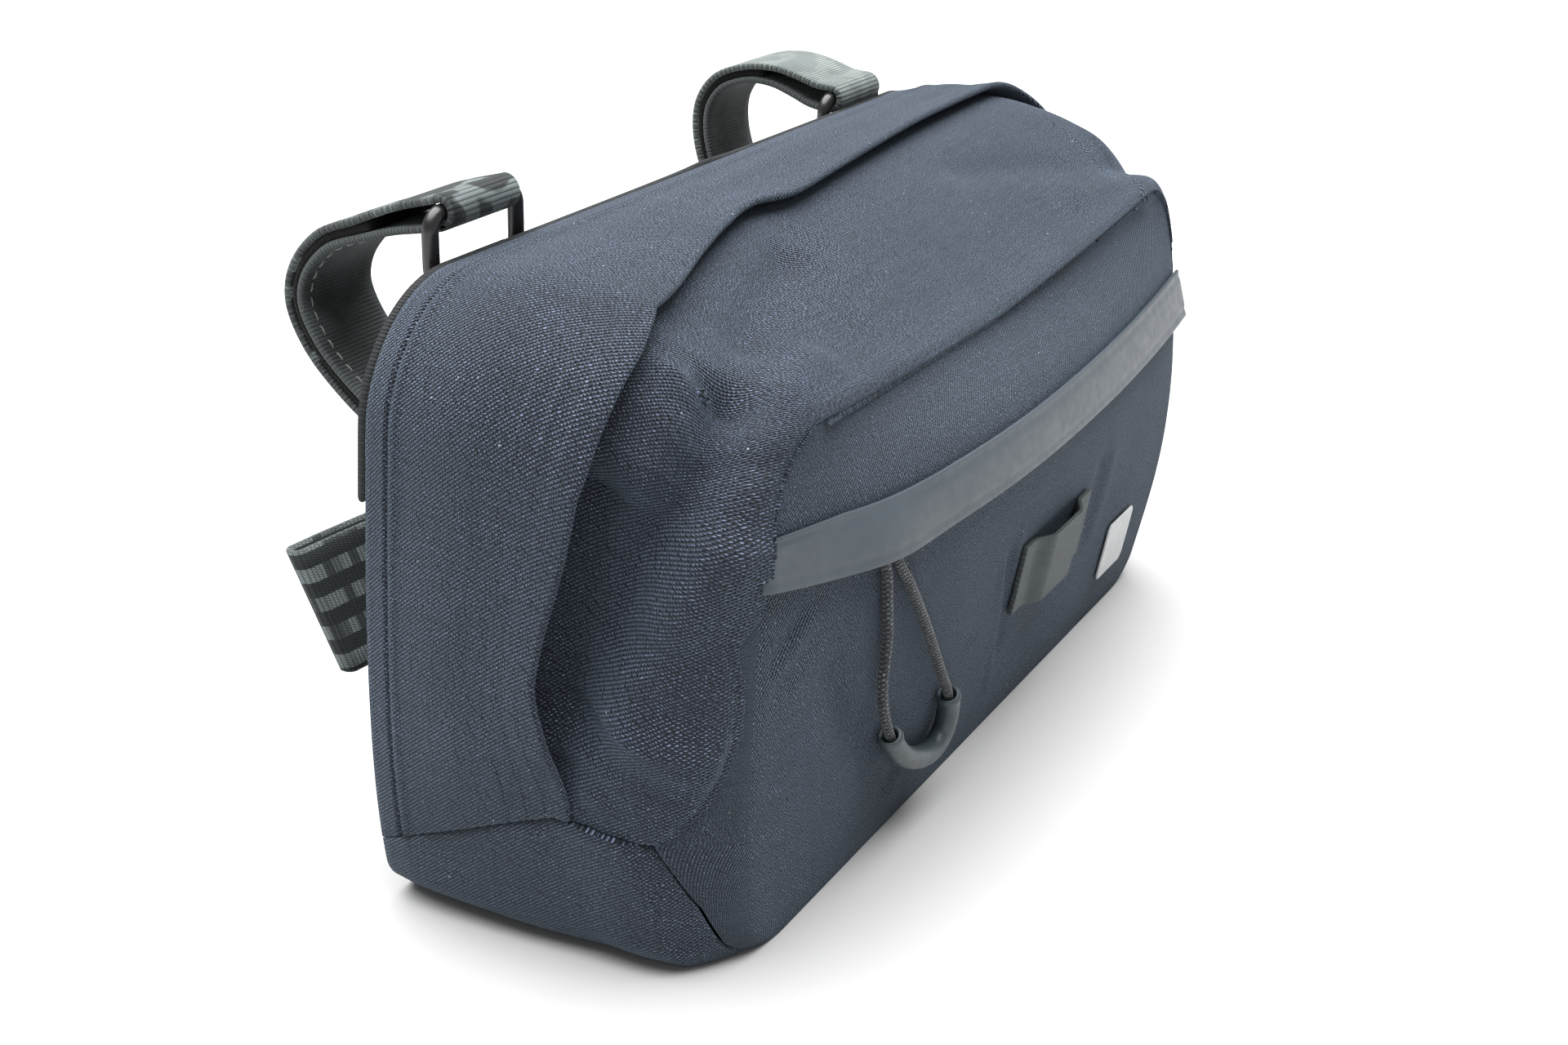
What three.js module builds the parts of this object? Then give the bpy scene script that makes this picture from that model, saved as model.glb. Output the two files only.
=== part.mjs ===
// Handlebar bag: soft zipped body, hood band, webbing straps and wire rings.
// Millimetres. +Z is up, the zipped front faces -Y, +X is right seen from the front.
// The origin is the middle of the flat base.
import * as THREE from "three";

// Body sizes
const BODY_LENGTH = 286;
const BODY_HEIGHT = 145;
const BODY_DEPTH = 84;
const END_BULGE = 6;
const END_INSET = 23;
const RIGHT_INSET = 17;
const RIGHT_SWELL = 7;
const RIGHT_LIFT = 6;
const TOP_DROP = 22;
const TOP_SAG = 4;
const TOP_CORNER = 28;
const BOTTOM_CORNER = 10;
const RIGHT_SQUARENESS = 0.6;
const BULGE_LEAN = 0.65;
const FRONT_BULGE = 13;
const FOLD_DEPTH = 11;
const FOLD_WIDTH = 10;

// Walls and clearances
const FABRIC = 1.6;
const HOOD_WALL = 1.8;
const BACK_WALL = 2.5;
const GAP = 0.4;
const TOUCH = 0.3;
const HOOD_FLARE = 2.0;

// Zip, its cover and its slider
const FLAP_HEIGHT = 12;
const FLAP_WALL = 1.2;
const FLAP_RISE = 2.0;
const FLAP_DROP = 24.5;
const ZIP_CURL = 6;
const CURL_LENGTH = 62;
const ZIP_SLOT = 4;
const TAPE_HEIGHT = 11;
const TAPE_WALL = 1.0;
const SLIDER_X = -77;
const SLIDER_WIDTH = 9;
const SLIDER_DROP = 2.6;
const TONGUE_WALL = 1.4;
const SLIDER_BUMP = 1.6;
const SLIDER_REACH = 9;

// Pull cord and its grip
const CORD_DIAMETER = 2.5;
const GRIP_DIAMETER = 5.9;
const GRIP_BORE = 3.6;

// Light loop and plain patch on the front
const LOOP_X = 27;
const LOOP_Z = 47;
const LOOP_LENGTH = 46;
const LOOP_HEIGHT = 19;
const LOOP_WALL = 1.3;
const LOOP_SLOT = 3;
const LOOP_SEWN = 6;
const PATCH_MARGIN = 44;
const PATCH_Z = 23;
const PATCH_WIDTH = 20;
const PATCH_HEIGHT = 18;
const PATCH_WALL = 0.6;

// Straps, rings and their anchors on the back
const STRAP_MARGIN = 46;
const STRAP_WIDTH = 25;
const STRAP_WALL = 1.8;
const STRAP_LAYERS = 2.0;
const STRAP_REACH = 50;
const STRAP_ROOT = 88;
const STRAP_TAB = 14;
const RING_WIRE = 3.8;
const RING_RISE = 8;
const RIGHT_RING_RISE = 1;
const RING_WINDOW = 11.4;
const RING_SLACK = 1.2;
const ANCHOR_WALL = 1.4;
const ANCHOR_LENGTH = 22;
const PANEL_WALL = 2.0;
const PANEL_HEIGHT = 44;

// Lower strap, folded over on itself
const LOWER_WIDTH = 32;
const LOWER_WALL = 1.6;
const LOWER_LAYERS = 2.2;
const LOWER_Z = 64;
const LOWER_LENGTH = 113;
const LOWER_REACH = 35;
const LOWER_DROP = 11;
const LOWER_LEAN = 0.53;
const LOWER_TAB = 14;
const LOWER_RETURN = 0.72;

// Places that follow from the sizes
const BACK_Y = BODY_DEPTH / 2;
const FRONT_Y = -BODY_DEPTH / 2;
const HALF_LENGTH = BODY_LENGTH / 2 - END_BULGE;
const SEAM_LIMIT = 1 - (FABRIC + GAP) / BODY_DEPTH;
const FRONT_TOP = BODY_HEIGHT - TOP_DROP;
const FLAP_TOP = FRONT_TOP - FLAP_DROP;
const PATCH_X = HALF_LENGTH - PATCH_MARGIN;
const STRAP_X = HALF_LENGTH - STRAP_MARGIN;
const EDGE_INSET = FABRIC + TOUCH;
const HOOD_LIFT = HOOD_WALL + TOUCH + GAP;
const RING_TURNS = 9;
const CENTRE = new THREE.Vector3(0, 0, BODY_HEIGHT / 2);

// Body sections from back to front: shares of depth, end inset, top drop, corners and sag
const SECTIONS = [
  { depth: 0.0, inset: 0.05, drop: 0.05, corner: 1.0, sag: 0.0 },
  { depth: 0.1, inset: 0.0, drop: 0.0, corner: 1.0, sag: 0.0 },
  { depth: 0.35, inset: 0.02, drop: 0.0, corner: 1.0, sag: 0.1 },
  { depth: 0.55, inset: 0.1, drop: 0.14, corner: 0.97, sag: 0.4 },
  { depth: 0.75, inset: 0.25, drop: 0.5, corner: 0.92, sag: 0.8 },
  { depth: 0.88, inset: 0.48, drop: 0.78, corner: 0.86, sag: 1.0 },
  { depth: 0.95, inset: 0.72, drop: 0.91, corner: 0.82, sag: 1.0 },
  { depth: 1.0, inset: 1.0, drop: 1.0, corner: 0.8, sag: 1.0 },
];

// Front belly: share of the front's height and of its bulge
const BELLY = [
  { up: 0.0, out: 0.0 },
  { up: 0.12, out: 0.2 },
  { up: 0.4, out: 0.62 },
  { up: 0.72, out: 1.0 },
  { up: 0.86, out: 0.72 },
  { up: 1.0, out: -0.2 },
];

// Hood's free edge: place round the ring and reach as a share of the depth
const HOOD_EDGE = [
  { along: 2.2, reach: 0.605 },
  { along: 2.33, reach: 0.6 },
  { along: 2.45, reach: 0.565 },
  { along: 2.57, reach: 0.53 },
  { along: 2.66, reach: 0.545 },
  { along: 2.87, reach: 0.6 },
  { along: 3.13, reach: 0.637 },
  { along: 3.65, reach: 0.645 },
  { along: 3.85, reach: 0.62 },
  { along: 4.03, reach: 0.575 },
  { along: 4.16, reach: 0.49 },
  { along: 4.24, reach: 0.44 },
  { along: 4.32, reach: 0.405 },
  { along: 4.39, reach: 0.43 },
  { along: 4.5, reach: 0.41 },
  { along: 4.65, reach: 0.38 },
  { along: 4.8, reach: 0.355 },
  { along: 5.0, reach: 0.35 },
  { along: 5.3, reach: 0.38 },
  { along: 5.6, reach: 0.46 },
  { along: 6.2, reach: 0.52 },
  { along: 6.6, reach: 0.47 },
  { along: 7.0, reach: 0.56 },
];
const HOOD_OVERLAP = 0.1;
const HOOD_SEWN = 0.2;

// Upper edge of the base piece on an end: place round the ring at each depth
const BASE_EDGE = [
  { depth: 0.0, along: 2.06 },
  { depth: 0.3, along: 2.17 },
  { depth: 0.57, along: 2.27 },
  { depth: 0.82, along: 2.27 },
  { depth: 0.87, along: 2.19 },
  { depth: 0.92, along: 2.1 },
  { depth: 0.95, along: 2.0 },
  { depth: 0.965, along: 1.6 },
  { depth: 0.975, along: 1.0 },
];

// Front seam on an end: depth at each place round the ring
const FRONT_SEAM = [
  { along: 1.0, depth: 0.975 },
  { along: 1.6, depth: 0.965 },
  { along: 2.0, depth: 0.95 },
  { along: 2.1, depth: 0.92 },
  { along: 2.19, depth: 0.87 },
  { along: 2.27, depth: 0.82 },
  { along: 2.3, depth: 0.865 },
  { along: 2.38, depth: 0.925 },
  { along: 2.46, depth: 0.955 },
  { along: 2.56, depth: 0.975 },
  { along: 2.68, depth: 0.975 },
  { along: 2.78, depth: 0.955 },
  { along: 2.88, depth: 0.975 },
  { along: 3.0, depth: 0.988 },
  { along: 3.08, depth: 1.0 },
  { along: 4.5, depth: 1.0 },
];
const GUSSET_FOOT = 2.3;

// Folds of the gusset, each along a line on the body. Width and height are shares of the
// fold sizes, and a negative height is a valley.
const FOLDS = [
  // Crease from the notch of the hood's edge
  {
    wide: 0.55,
    rise: -0.28,
    line: [
      { along: 4.33, depth: 0.55 },
      { along: 4.15, depth: 0.68 },
      { along: 4.03, depth: 0.79 },
    ],
  },
  // Long valley behind the front roll
  {
    wide: 0.6,
    rise: -0.6,
    line: [
      { along: 4.0, depth: 0.8 },
      { along: 3.78, depth: 0.873 },
      { along: 3.48, depth: 0.905 },
      { along: 3.23, depth: 0.885 },
      { along: 3.01, depth: 0.815 },
    ],
  },
  // Valley that runs on towards the base
  {
    wide: 0.8,
    rise: -0.4,
    line: [
      { along: 3.01, depth: 0.81 },
      { along: 2.91, depth: 0.768 },
      { along: 2.79, depth: 0.73 },
      { along: 2.6, depth: 0.66 },
    ],
  },
  // Hollow under the hood's edge
  {
    wide: 1.1,
    rise: -0.7,
    line: [
      { along: 3.3, depth: 0.66 },
      { along: 2.85, depth: 0.64 },
      { along: 2.65, depth: 0.6 },
      { along: 2.5, depth: 0.585 },
      { along: 2.4, depth: 0.575 },
    ],
  },
  // Swell beside the hollow
  {
    wide: 0.7,
    rise: 0.3,
    line: [
      { along: 3.97, depth: 0.726 },
      { along: 3.6, depth: 0.755 },
    ],
  },
  // Front roll
  {
    wide: 0.5,
    rise: 0.25,
    line: [
      { along: 4.18, depth: 0.84 },
      { along: 4.01, depth: 0.91 },
      { along: 3.39, depth: 0.955 },
      { along: 3.1, depth: 0.93 },
      { along: 2.9, depth: 0.885 },
      { along: 2.7, depth: 0.82 },
    ],
  },
  // Pillow of the lower lobe
  {
    wide: 1.5,
    rise: 0.45,
    line: [
      { along: 2.62, depth: 0.82 },
      { along: 2.5, depth: 0.8 },
      { along: 2.42, depth: 0.76 },
    ],
  },
  // Ridge behind the lobe
  {
    wide: 0.4,
    rise: 0.25,
    line: [
      { along: 2.29, depth: 0.71 },
      { along: 2.36, depth: 0.665 },
      { along: 2.42, depth: 0.645 },
    ],
  },
  // Pocket at the lobe's foot
  {
    wide: 0.6,
    rise: -0.45,
    line: [
      { along: 2.46, depth: 0.589 },
      { along: 2.33, depth: 0.592 },
    ],
  },
];
const FOLD_FADE = 0.025;

// Routes of the handlebar straps behind the bag: shares of their reach and height
const LEFT_ROUTE = [
  { back: 0.0, up: 0.0 },
  { back: 0.2, up: 0.04 },
  { back: 0.44, up: 0.12 },
  { back: 0.7, up: 0.24 },
  { back: 0.91, up: 0.39 },
  { back: 1.0, up: 0.54 },
  { back: 0.96, up: 0.67 },
  { back: 0.8, up: 0.8 },
  { back: 0.58, up: 0.87 },
  { back: 0.36, up: 0.94 },
];
const RIGHT_ROUTE = [
  { back: 0.0, up: 0.0 },
  { back: 0.25, up: 0.03 },
  { back: 0.5, up: 0.11 },
  { back: 0.73, up: 0.26 },
  { back: 0.91, up: 0.45 },
  { back: 1.0, up: 0.66 },
  { back: 0.99, up: 0.84 },
  { back: 0.88, up: 0.97 },
  { back: 0.68, up: 1.04 },
  { back: 0.48, up: 1.055 },
  { back: 0.31, up: 1.03 },
  { back: 0.2, up: 1.005 },
];

// Route of the lower strap: shares of its length, reach and drop
const LOWER_ROUTE = [
  { along: 0.0, back: 0.0, sink: 0.0 },
  { along: 0.3, back: 0.1, sink: 0.02 },
  { along: 0.55, back: 0.36, sink: 0.2 },
  { along: 0.8, back: 0.74, sink: 0.62 },
  { along: 0.92, back: 0.91, sink: 0.86 },
  { along: 1.0, back: 1.0, sink: 1.0 },
];

// Cord route, chosen by hand: from the slider down, through the grip and back
const CORD_ROUTE = [
  [-79.6, -50.9, 88.3],
  [-78.8, -51.1, 85.6],
  [-77.4, -51.2, 82.4],
  [-76.2, -51.1, 76.6],
  [-75.0, -50.9, 70.7],
  [-73.7, -50.6, 64.8],
  [-73.5, -50.3, 59.2],
  [-73.4, -49.9, 52.8],
  [-71.9, -49.8, 45.1],
  [-67.5, -49.7, 36.0],
  [-63.0, -49.3, 30.4],
  [-57.0, -48.8, 25.0],
  [-50.3, -48.5, 20.9],
  [-43.4, -48.3, 18.1],
  [-37.3, -48.4, 17.9],
  [-33.6, -48.9, 21.0],
  [-33.5, -49.7, 26.6],
  [-36.4, -50.6, 32.8],
  [-43.5, -51.3, 42.4],
  [-49.2, -51.6, 50.8],
  [-56.4, -52.1, 60.9],
  [-62.9, -52.3, 69.8],
  [-68.3, -52.2, 77.3],
  [-72.2, -51.9, 82.2],
  [-74.0, -51.8, 85.4],
  [-75.1, -51.5, 88.3],
];
const GRIP_FIRST = 9;
const GRIP_LAST = 17;

// Colours and finishes
const FINISH = {
  fabric: { color: 0x23262f, roughness: 0.95, metalness: 0 },
  cover: { color: 0x3c4442, roughness: 0.55, metalness: 0 },
  webbing: { color: 0x2b2e30, roughness: 0.85, metalness: 0 },
  plastic: { color: 0x35393a, roughness: 0.4, metalness: 0 },
  cord: { color: 0x2c2f2f, roughness: 0.8, metalness: 0 },
  metal: { color: 0x141516, roughness: 0.4, metalness: 0.6 },
  patch: { color: 0xdadcdb, roughness: 0.6, metalness: 0 },
};

const vec = (x, y, z) => new THREE.Vector3(x, y, z);
const mix = THREE.MathUtils.lerp;
const clamp01 = (value) => THREE.MathUtils.clamp(value, 0, 1);
const ease = (value) => THREE.MathUtils.smoothstep(value, 0, 1);

// Evenly spaced values, both ends included
function spread(from, to, steps) {
  return Array.from({ length: steps + 1 }, (_, i) => mix(from, to, i / steps));
}

// Row of a table that holds a value of its key column
function rowBefore(table, key, at) {
  let row = 0;
  while (row < table.length - 2 && at > table[row + 1][key]) {
    row += 1;
  }
  return row;
}

// Straight reading of a table
function readStraight(table, key, column, at) {
  const row = rowBefore(table, key, at);
  const [a, b] = [table[row], table[row + 1]];
  return mix(a[column], b[column], clamp01((at - a[key]) / (b[key] - a[key])));
}

// Smooth reading of a table
function readSmooth(table, key, column, at) {
  const row = rowBefore(table, key, at);
  const [a, b] = [table[row], table[row + 1]];
  const before = table[Math.max(row - 1, 0)];
  const after = table[Math.min(row + 2, table.length - 1)];
  const span = b[key] - a[key];
  const slopeA = ((b[column] - before[column]) / (b[key] - before[key])) * span;
  const slopeB = ((after[column] - a[column]) / (after[key] - a[key])) * span;
  const s = clamp01((at - a[key]) / span);
  const [s2, s3] = [s * s, s * s * s];
  return (
    a[column] * (2 * s3 - 3 * s2 + 1) +
    slopeA * (s3 - 2 * s2 + s) +
    b[column] * (3 * s2 - 2 * s3) +
    slopeB * (s3 - s2)
  );
}

// A ring of the body at one depth, seen from the front. Its nine stretches start in
// the middle of the base and run by the left end, the top and the right end.
function ringPoint(along, depth) {
  const mirrored = along > RING_TURNS / 2;
  const place = mirrored ? RING_TURNS - along : along;
  const inset = mirrored ? RIGHT_INSET : END_INSET;
  const half = HALF_LENGTH - inset * readSmooth(SECTIONS, "depth", "inset", depth);
  const top = BODY_HEIGHT - TOP_DROP * readSmooth(SECTIONS, "depth", "drop", depth);
  const share = readSmooth(SECTIONS, "depth", "corner", depth);
  const sag = TOP_SAG * readSmooth(SECTIONS, "depth", "sag", depth);
  const [foot, crown] = [BOTTOM_CORNER * share, TOP_CORNER * share];
  const power = mirrored ? mix(1, RIGHT_SQUARENESS, depth) : 1;
  let x = 0;
  let z = 0;
  if (place < 1) {
    x = (half - foot) * place;
  } else if (place < 2) {
    const turn = ((place - 1) * Math.PI) / 2;
    x = half - foot + foot * Math.sin(turn);
    z = foot - foot * Math.cos(turn);
  } else if (place < 3) {
    x = half;
    z = mix(foot, top - crown, place - 2);
  } else if (place < 4) {
    const turn = ((place - 3) * Math.PI) / 2;
    x = half - crown + crown * Math.pow(clamp01(Math.cos(turn)), power);
    z = top - crown + crown * Math.pow(Math.sin(turn), power);
  } else {
    x = (half - crown) * (1 - (place - 4) * 2);
    z = top;
  }
  const bulge = END_BULGE * Math.sin(Math.PI * Math.pow(clamp01(z / top), BULGE_LEAN));
  const flat = 1 - Math.pow(x / half, 2);
  const swell = mirrored ? RIGHT_SWELL * Math.pow(depth, 3) * (1 - clamp01(flat)) : 0;
  const y = BACK_Y - depth * BODY_DEPTH - swell * Math.sin(Math.PI * clamp01(z / top));
  const lift = mirrored ? RIGHT_LIFT * depth * depth * (x / half) * Math.pow(z / top, 8) : 0;
  z += lift - sag * clamp01(flat) * Math.pow(z / top, 6);
  x += bulge * Math.pow(x / half, 8);
  return vec(mirrored ? x : -x, y, z);
}

// Length round the body from the foot of its end to a place on the ring
function runTo(along) {
  const place = along > RING_TURNS / 2 ? RING_TURNS - along : along;
  const end = BODY_HEIGHT - TOP_CORNER - BOTTOM_CORNER;
  const corner = (TOP_CORNER * Math.PI) / 2;
  const top = HALF_LENGTH - TOP_CORNER;
  return end * Math.min(place - 2, 1) + corner * clamp01(place - 3) + top * 2 * Math.max(place - 4, 0);
}

// Height of the gusset's folds at a place on the body
function foldHeight(along, depth) {
  const spot = new THREE.Vector3(runTo(along), depth * BODY_DEPTH, 0);
  const nearest = new THREE.Vector3();
  let height = 0;
  for (const fold of FOLDS) {
    const line = fold.line.map((row) => vec(runTo(row.along), row.depth * BODY_DEPTH, 0));
    const away = line.slice(1).map((end, i) => {
      new THREE.Line3(line[i], end).closestPointToPoint(spot, true, nearest);
      return nearest.distanceTo(spot) / (fold.wide * FOLD_WIDTH);
    });
    height += fold.rise * Math.exp(-Math.pow(Math.min(...away), 2));
  }
  return FOLD_DEPTH * height * ease((seamDepth(along) - depth) / FOLD_FADE);
}

// Depth of the front seam, never nearer the front than one wall on the base
function seamDepth(along) {
  const place = along > RING_TURNS / 2 ? RING_TURNS - along : along;
  const depth = readStraight(FRONT_SEAM, "along", "depth", place);
  return place < GUSSET_FOOT ? Math.min(depth, SEAM_LIMIT) : depth;
}

// Outward normal of a surface given as a function of two values
function surfaceNormal(surface, a, b, outwardFrom) {
  const step = 0.004;
  const across = surface(a + step, b).sub(surface(a - step, b));
  const along = surface(a, b + step).sub(surface(a, b - step));
  const normal = across.cross(along).normalize();
  const outward = surface(a, b).sub(outwardFrom);
  return normal.dot(outward) < 0 ? normal.negate() : normal;
}

// Point of the body's side surface, lifted off it along its normal
function sidePoint(along, depth, lift) {
  const held = (a, d) => ringPoint(a, THREE.MathUtils.clamp(d, 0, 1));
  const normal = surfaceNormal(held, along, depth, CENTRE);
  return ringPoint(along, depth).addScaledVector(normal, lift);
}

// Point of the front face: share across from left to right, height as a ring place
function frontPoint(across, along, inset) {
  const left = ringPoint(along, 1);
  const right = ringPoint(RING_TURNS - along, 1);
  const edge = across < 0 ? left : right;
  const x = across * (Math.abs(edge.x) - inset);
  const side = Math.pow(x / edge.x, 2);
  const level = mix(left.z, right.z, clamp01(across));
  const up = clamp01(level / FRONT_TOP);
  const tuck = inset * Math.pow(up, 8);
  const out = FRONT_BULGE * readSmooth(BELLY, "up", "out", up);
  const sag = (TOP_SAG - sagAtEdge(edge)) * (1 - side) * Math.pow(up, 6);
  return vec(x, mix(FRONT_Y, edge.y, side) + tuck / 3 - out * (1 - side), level - sag - tuck);
}

// Sag that a corner of the front ring already has
function sagAtEdge(edge) {
  const half = HALF_LENGTH - (edge.x < 0 ? END_INSET : RIGHT_INSET);
  return TOP_SAG * (1 - clamp01(Math.pow(edge.x / half, 2)));
}

// Ring place whose front edge lies at a height
function placeAtHeight(height) {
  const low = ringPoint(2, 1).z;
  const high = ringPoint(3, 1).z;
  return 2 + (height - low) / (high - low);
}

// Front face under given x and z, lifted along its normal
function frontAt(x, z, lift) {
  const face = (px, pz) => {
    const along = placeAtHeight(pz);
    const edge = ringPoint(px < 0 ? along : RING_TURNS - along, 1);
    return frontPoint(px / Math.abs(edge.x), along, 0);
  };
  const normal = surfaceNormal(face, x, z, CENTRE);
  return face(x, z).addScaledVector(normal, lift);
}

// Closed solid from a list of points and triangles, turned so that its faces look out
function solid(points, faces) {
  let volume = 0;
  for (const [a, b, c] of faces) {
    volume += points[a].dot(points[b].clone().cross(points[c]));
  }
  const turned = volume < 0 ? faces.map(([a, b, c]) => [a, c, b]) : faces;
  const geometry = new THREE.BufferGeometry();
  geometry.setAttribute(
    "position",
    new THREE.Float32BufferAttribute(points.flatMap((p) => [p.x, p.y, p.z]), 3),
  );
  geometry.setIndex(turned.flat());
  geometry.computeVertexNormals();
  return geometry;
}

// Grid of points one wall inside a grid of outer points
function inwards(grid, wall) {
  const held = (list, i) => list[THREE.MathUtils.clamp(i, 0, list.length - 1)];
  return grid.map((row, r) =>
    row.map((point, c) => {
      const across = held(row, c + 1).clone().sub(held(row, c - 1));
      const along = held(grid, r + 1)[c].clone().sub(held(grid, r - 1)[c]);
      const normal = across.cross(along).normalize();
      const side = normal.dot(point.clone().sub(CENTRE)) < 0 ? 1 : -1;
      return point.clone().addScaledVector(normal, side * wall);
    }),
  );
}

// Thick sheet between a grid of outer points and a grid of inner ones
function sheet(outerGrid, innerGrid) {
  const rows = outerGrid.length;
  const columns = outerGrid[0].length;
  const outer = outerGrid.flat();
  const inner = innerGrid.flat();
  const count = outer.length;
  const at = (r, c) => r * columns + c;
  const faces = [];
  const quad = (a, b, c, d) => faces.push([a, b, c], [a, c, d]);
  for (let r = 0; r < rows - 1; r += 1) {
    for (let c = 0; c < columns - 1; c += 1) {
      quad(at(r, c), at(r, c + 1), at(r + 1, c + 1), at(r + 1, c));
      quad(count + at(r, c), count + at(r + 1, c), count + at(r + 1, c + 1), count + at(r, c + 1));
    }
  }
  for (let r = 0; r < rows - 1; r += 1) {
    quad(at(r, 0), at(r + 1, 0), count + at(r + 1, 0), count + at(r, 0));
    const last = columns - 1;
    quad(at(r + 1, last), at(r, last), count + at(r, last), count + at(r + 1, last));
  }
  for (let c = 0; c < columns - 1; c += 1) {
    quad(at(0, c + 1), at(0, c), count + at(0, c), count + at(0, c + 1));
    const last = rows - 1;
    quad(at(last, c), at(last, c + 1), count + at(last, c + 1), count + at(last, c));
  }
  return solid(outer.concat(inner), faces);
}

// Flat webbing along a route, with its own width direction at each point
function ribbon(route, widthAt, width, wall) {
  const points = [];
  const faces = [];
  const quad = (a, b, c, d) => faces.push([a, b, c], [a, c, d]);
  route.forEach((point, i) => {
    const before = route[Math.max(i - 1, 0)];
    const after = route[Math.min(i + 1, route.length - 1)];
    const tangent = after.clone().sub(before).normalize();
    const side = widthAt(i / (route.length - 1)).clone().normalize();
    const normal = tangent.clone().cross(side).normalize();
    for (const [s, n] of [[-1, -1], [1, -1], [1, 1], [-1, 1]]) {
      const corner = point.clone().addScaledVector(side, (s * width) / 2);
      points.push(corner.addScaledVector(normal, (n * wall) / 2));
    }
  });
  for (let i = 0; i < route.length - 1; i += 1) {
    for (let k = 0; k < 4; k += 1) {
      const next = (k + 1) % 4;
      quad(i * 4 + k, i * 4 + next, (i + 1) * 4 + next, (i + 1) * 4 + k);
    }
  }
  const last = (route.length - 1) * 4;
  quad(3, 2, 1, 0);
  quad(last, last + 1, last + 2, last + 3);
  return solid(points, faces);
}

// Closed wire loop that lies in a plane
function wireLoop(centres, planeNormal, radius, sides) {
  const points = [];
  const faces = [];
  const count = centres.length;
  centres.forEach((centre, i) => {
    const before = centres[(i + count - 1) % count];
    const after = centres[(i + 1) % count];
    const out = after.clone().sub(before).normalize().cross(planeNormal);
    for (let k = 0; k < sides; k += 1) {
      const turn = (2 * Math.PI * k) / sides;
      const point = centre.clone().addScaledVector(out, radius * Math.cos(turn));
      points.push(point.addScaledVector(planeNormal, radius * Math.sin(turn)));
    }
  });
  for (let i = 0; i < count; i += 1) {
    const next = (i + 1) % count;
    for (let k = 0; k < sides; k += 1) {
      const k2 = (k + 1) % sides;
      faces.push([i * sides + k, i * sides + k2, next * sides + k2]);
      faces.push([i * sides + k, next * sides + k2, next * sides + k]);
    }
  }
  return solid(points, faces);
}

// Evenly spaced points of a smooth curve through given points
function smoothRoute(points, steps) {
  return new THREE.CatmullRomCurve3(points, false, "centripetal").getSpacedPoints(steps);
}

// Flat plate from a closed outline in x and z, between two depths
function plate(outline, fromY, toY) {
  const shape = new THREE.Shape(outline.map((p) => new THREE.Vector2(p.x, p.z)));
  const geometry = new THREE.ExtrudeGeometry(shape, {
    depth: Math.abs(toY - fromY),
    bevelEnabled: false,
  });
  geometry.rotateX(Math.PI / 2);
  geometry.translate(0, Math.max(fromY, toY), 0);
  return geometry;
}

// Outline of the body's back, drawn in by a margin
function backOutline(margin, alongs) {
  return alongs.map((along) => {
    const step = 0.01;
    const before = ringPoint(along - step, 0);
    const tangent = ringPoint(along + step, 0).sub(before).normalize();
    const inward = vec(tangent.z, 0, -tangent.x);
    return ringPoint(along, 0).addScaledVector(inward, margin);
  });
}

function backPanel() {
  const left = [0.5, ...spread(1, 2, 4), ...spread(2.25, 2.75, 2), ...spread(3, 4, 6)];
  const right = left.map((along) => RING_TURNS - along).reverse();
  return plate(backOutline(HOOD_WALL + GAP, [...left, ...right]), BACK_Y - BACK_WALL, BACK_Y);
}

// Black layer over the upper back that the straps' hardware is sewn to
function strapPanel() {
  const foot = BODY_HEIGHT - PANEL_HEIGHT;
  const low = 2 + (foot - BOTTOM_CORNER) / (BODY_HEIGHT - TOP_CORNER - BOTTOM_CORNER);
  const left = [...spread(low, 2.98, 2), ...spread(3, 4, 8)];
  const right = left.map((along) => RING_TURNS - along).reverse();
  const outline = backOutline(TOUCH, [...left, ...right]);
  return plate(outline, BACK_Y + TOUCH, BACK_Y + TOUCH + PANEL_WALL);
}

// Ring places along the hood and the gusset, closer together on the corners
function bandPlaces(foot, endSteps, cornerSteps, topSteps) {
  const left = [...spread(foot, 3, endSteps), ...spread(3, 4, cornerSteps).slice(1)];
  const top = spread(4, 5, topSteps).slice(1, -1);
  const right = left.map((along) => RING_TURNS - along).reverse();
  return [...left, ...top, ...right];
}

function baseEdge(depth) {
  return readStraight(BASE_EDGE, "depth", "along", depth);
}

// Gap between two panels as a share of a ring's end stretch
const END_GAP = GAP / (BODY_HEIGHT - TOP_CORNER - BOTTOM_CORNER);

// Moves a nominal ring place so that the band's foot follows a slanted edge
function slantedPlace(along, foot) {
  if (along < 3) {
    return mix(foot, 3, along - 2);
  }
  if (along > 6) {
    return mix(6, RING_TURNS - foot, along - 6);
  }
  return along;
}

// Reach of the hood at a nominal ring place, read where its free edge ends up
function hoodReach(along) {
  const reachAt = (place) => readSmooth(HOOD_EDGE, "along", "reach", place);
  return reachAt(slantedPlace(along, baseEdge(reachAt(along)) + END_GAP));
}

// Hood: a band over both ends and the top, lifting towards its free edge
function hood() {
  const shares = [0, 0.12, 0.3, 0.5, 0.7, 0.88, 1];
  const rows = shares.map((share) =>
    bandPlaces(2, 7, 6, 18).map((along) => {
      const depth = share * hoodReach(along);
      const foot = baseEdge(depth) + END_GAP;
      const free = ease((Math.min(along, RING_TURNS - along) - 2) / HOOD_SEWN);
      const flare = HOOD_FLARE * free * Math.pow(clamp01((share - 0.6) / 0.4), 2);
      const lift = HOOD_LIFT * ease(share / 0.6) + flare;
      return sidePoint(slantedPlace(along, foot), depth, lift);
    }),
  );
  return sheet(rows, inwards(rows, HOOD_WALL));
}

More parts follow.
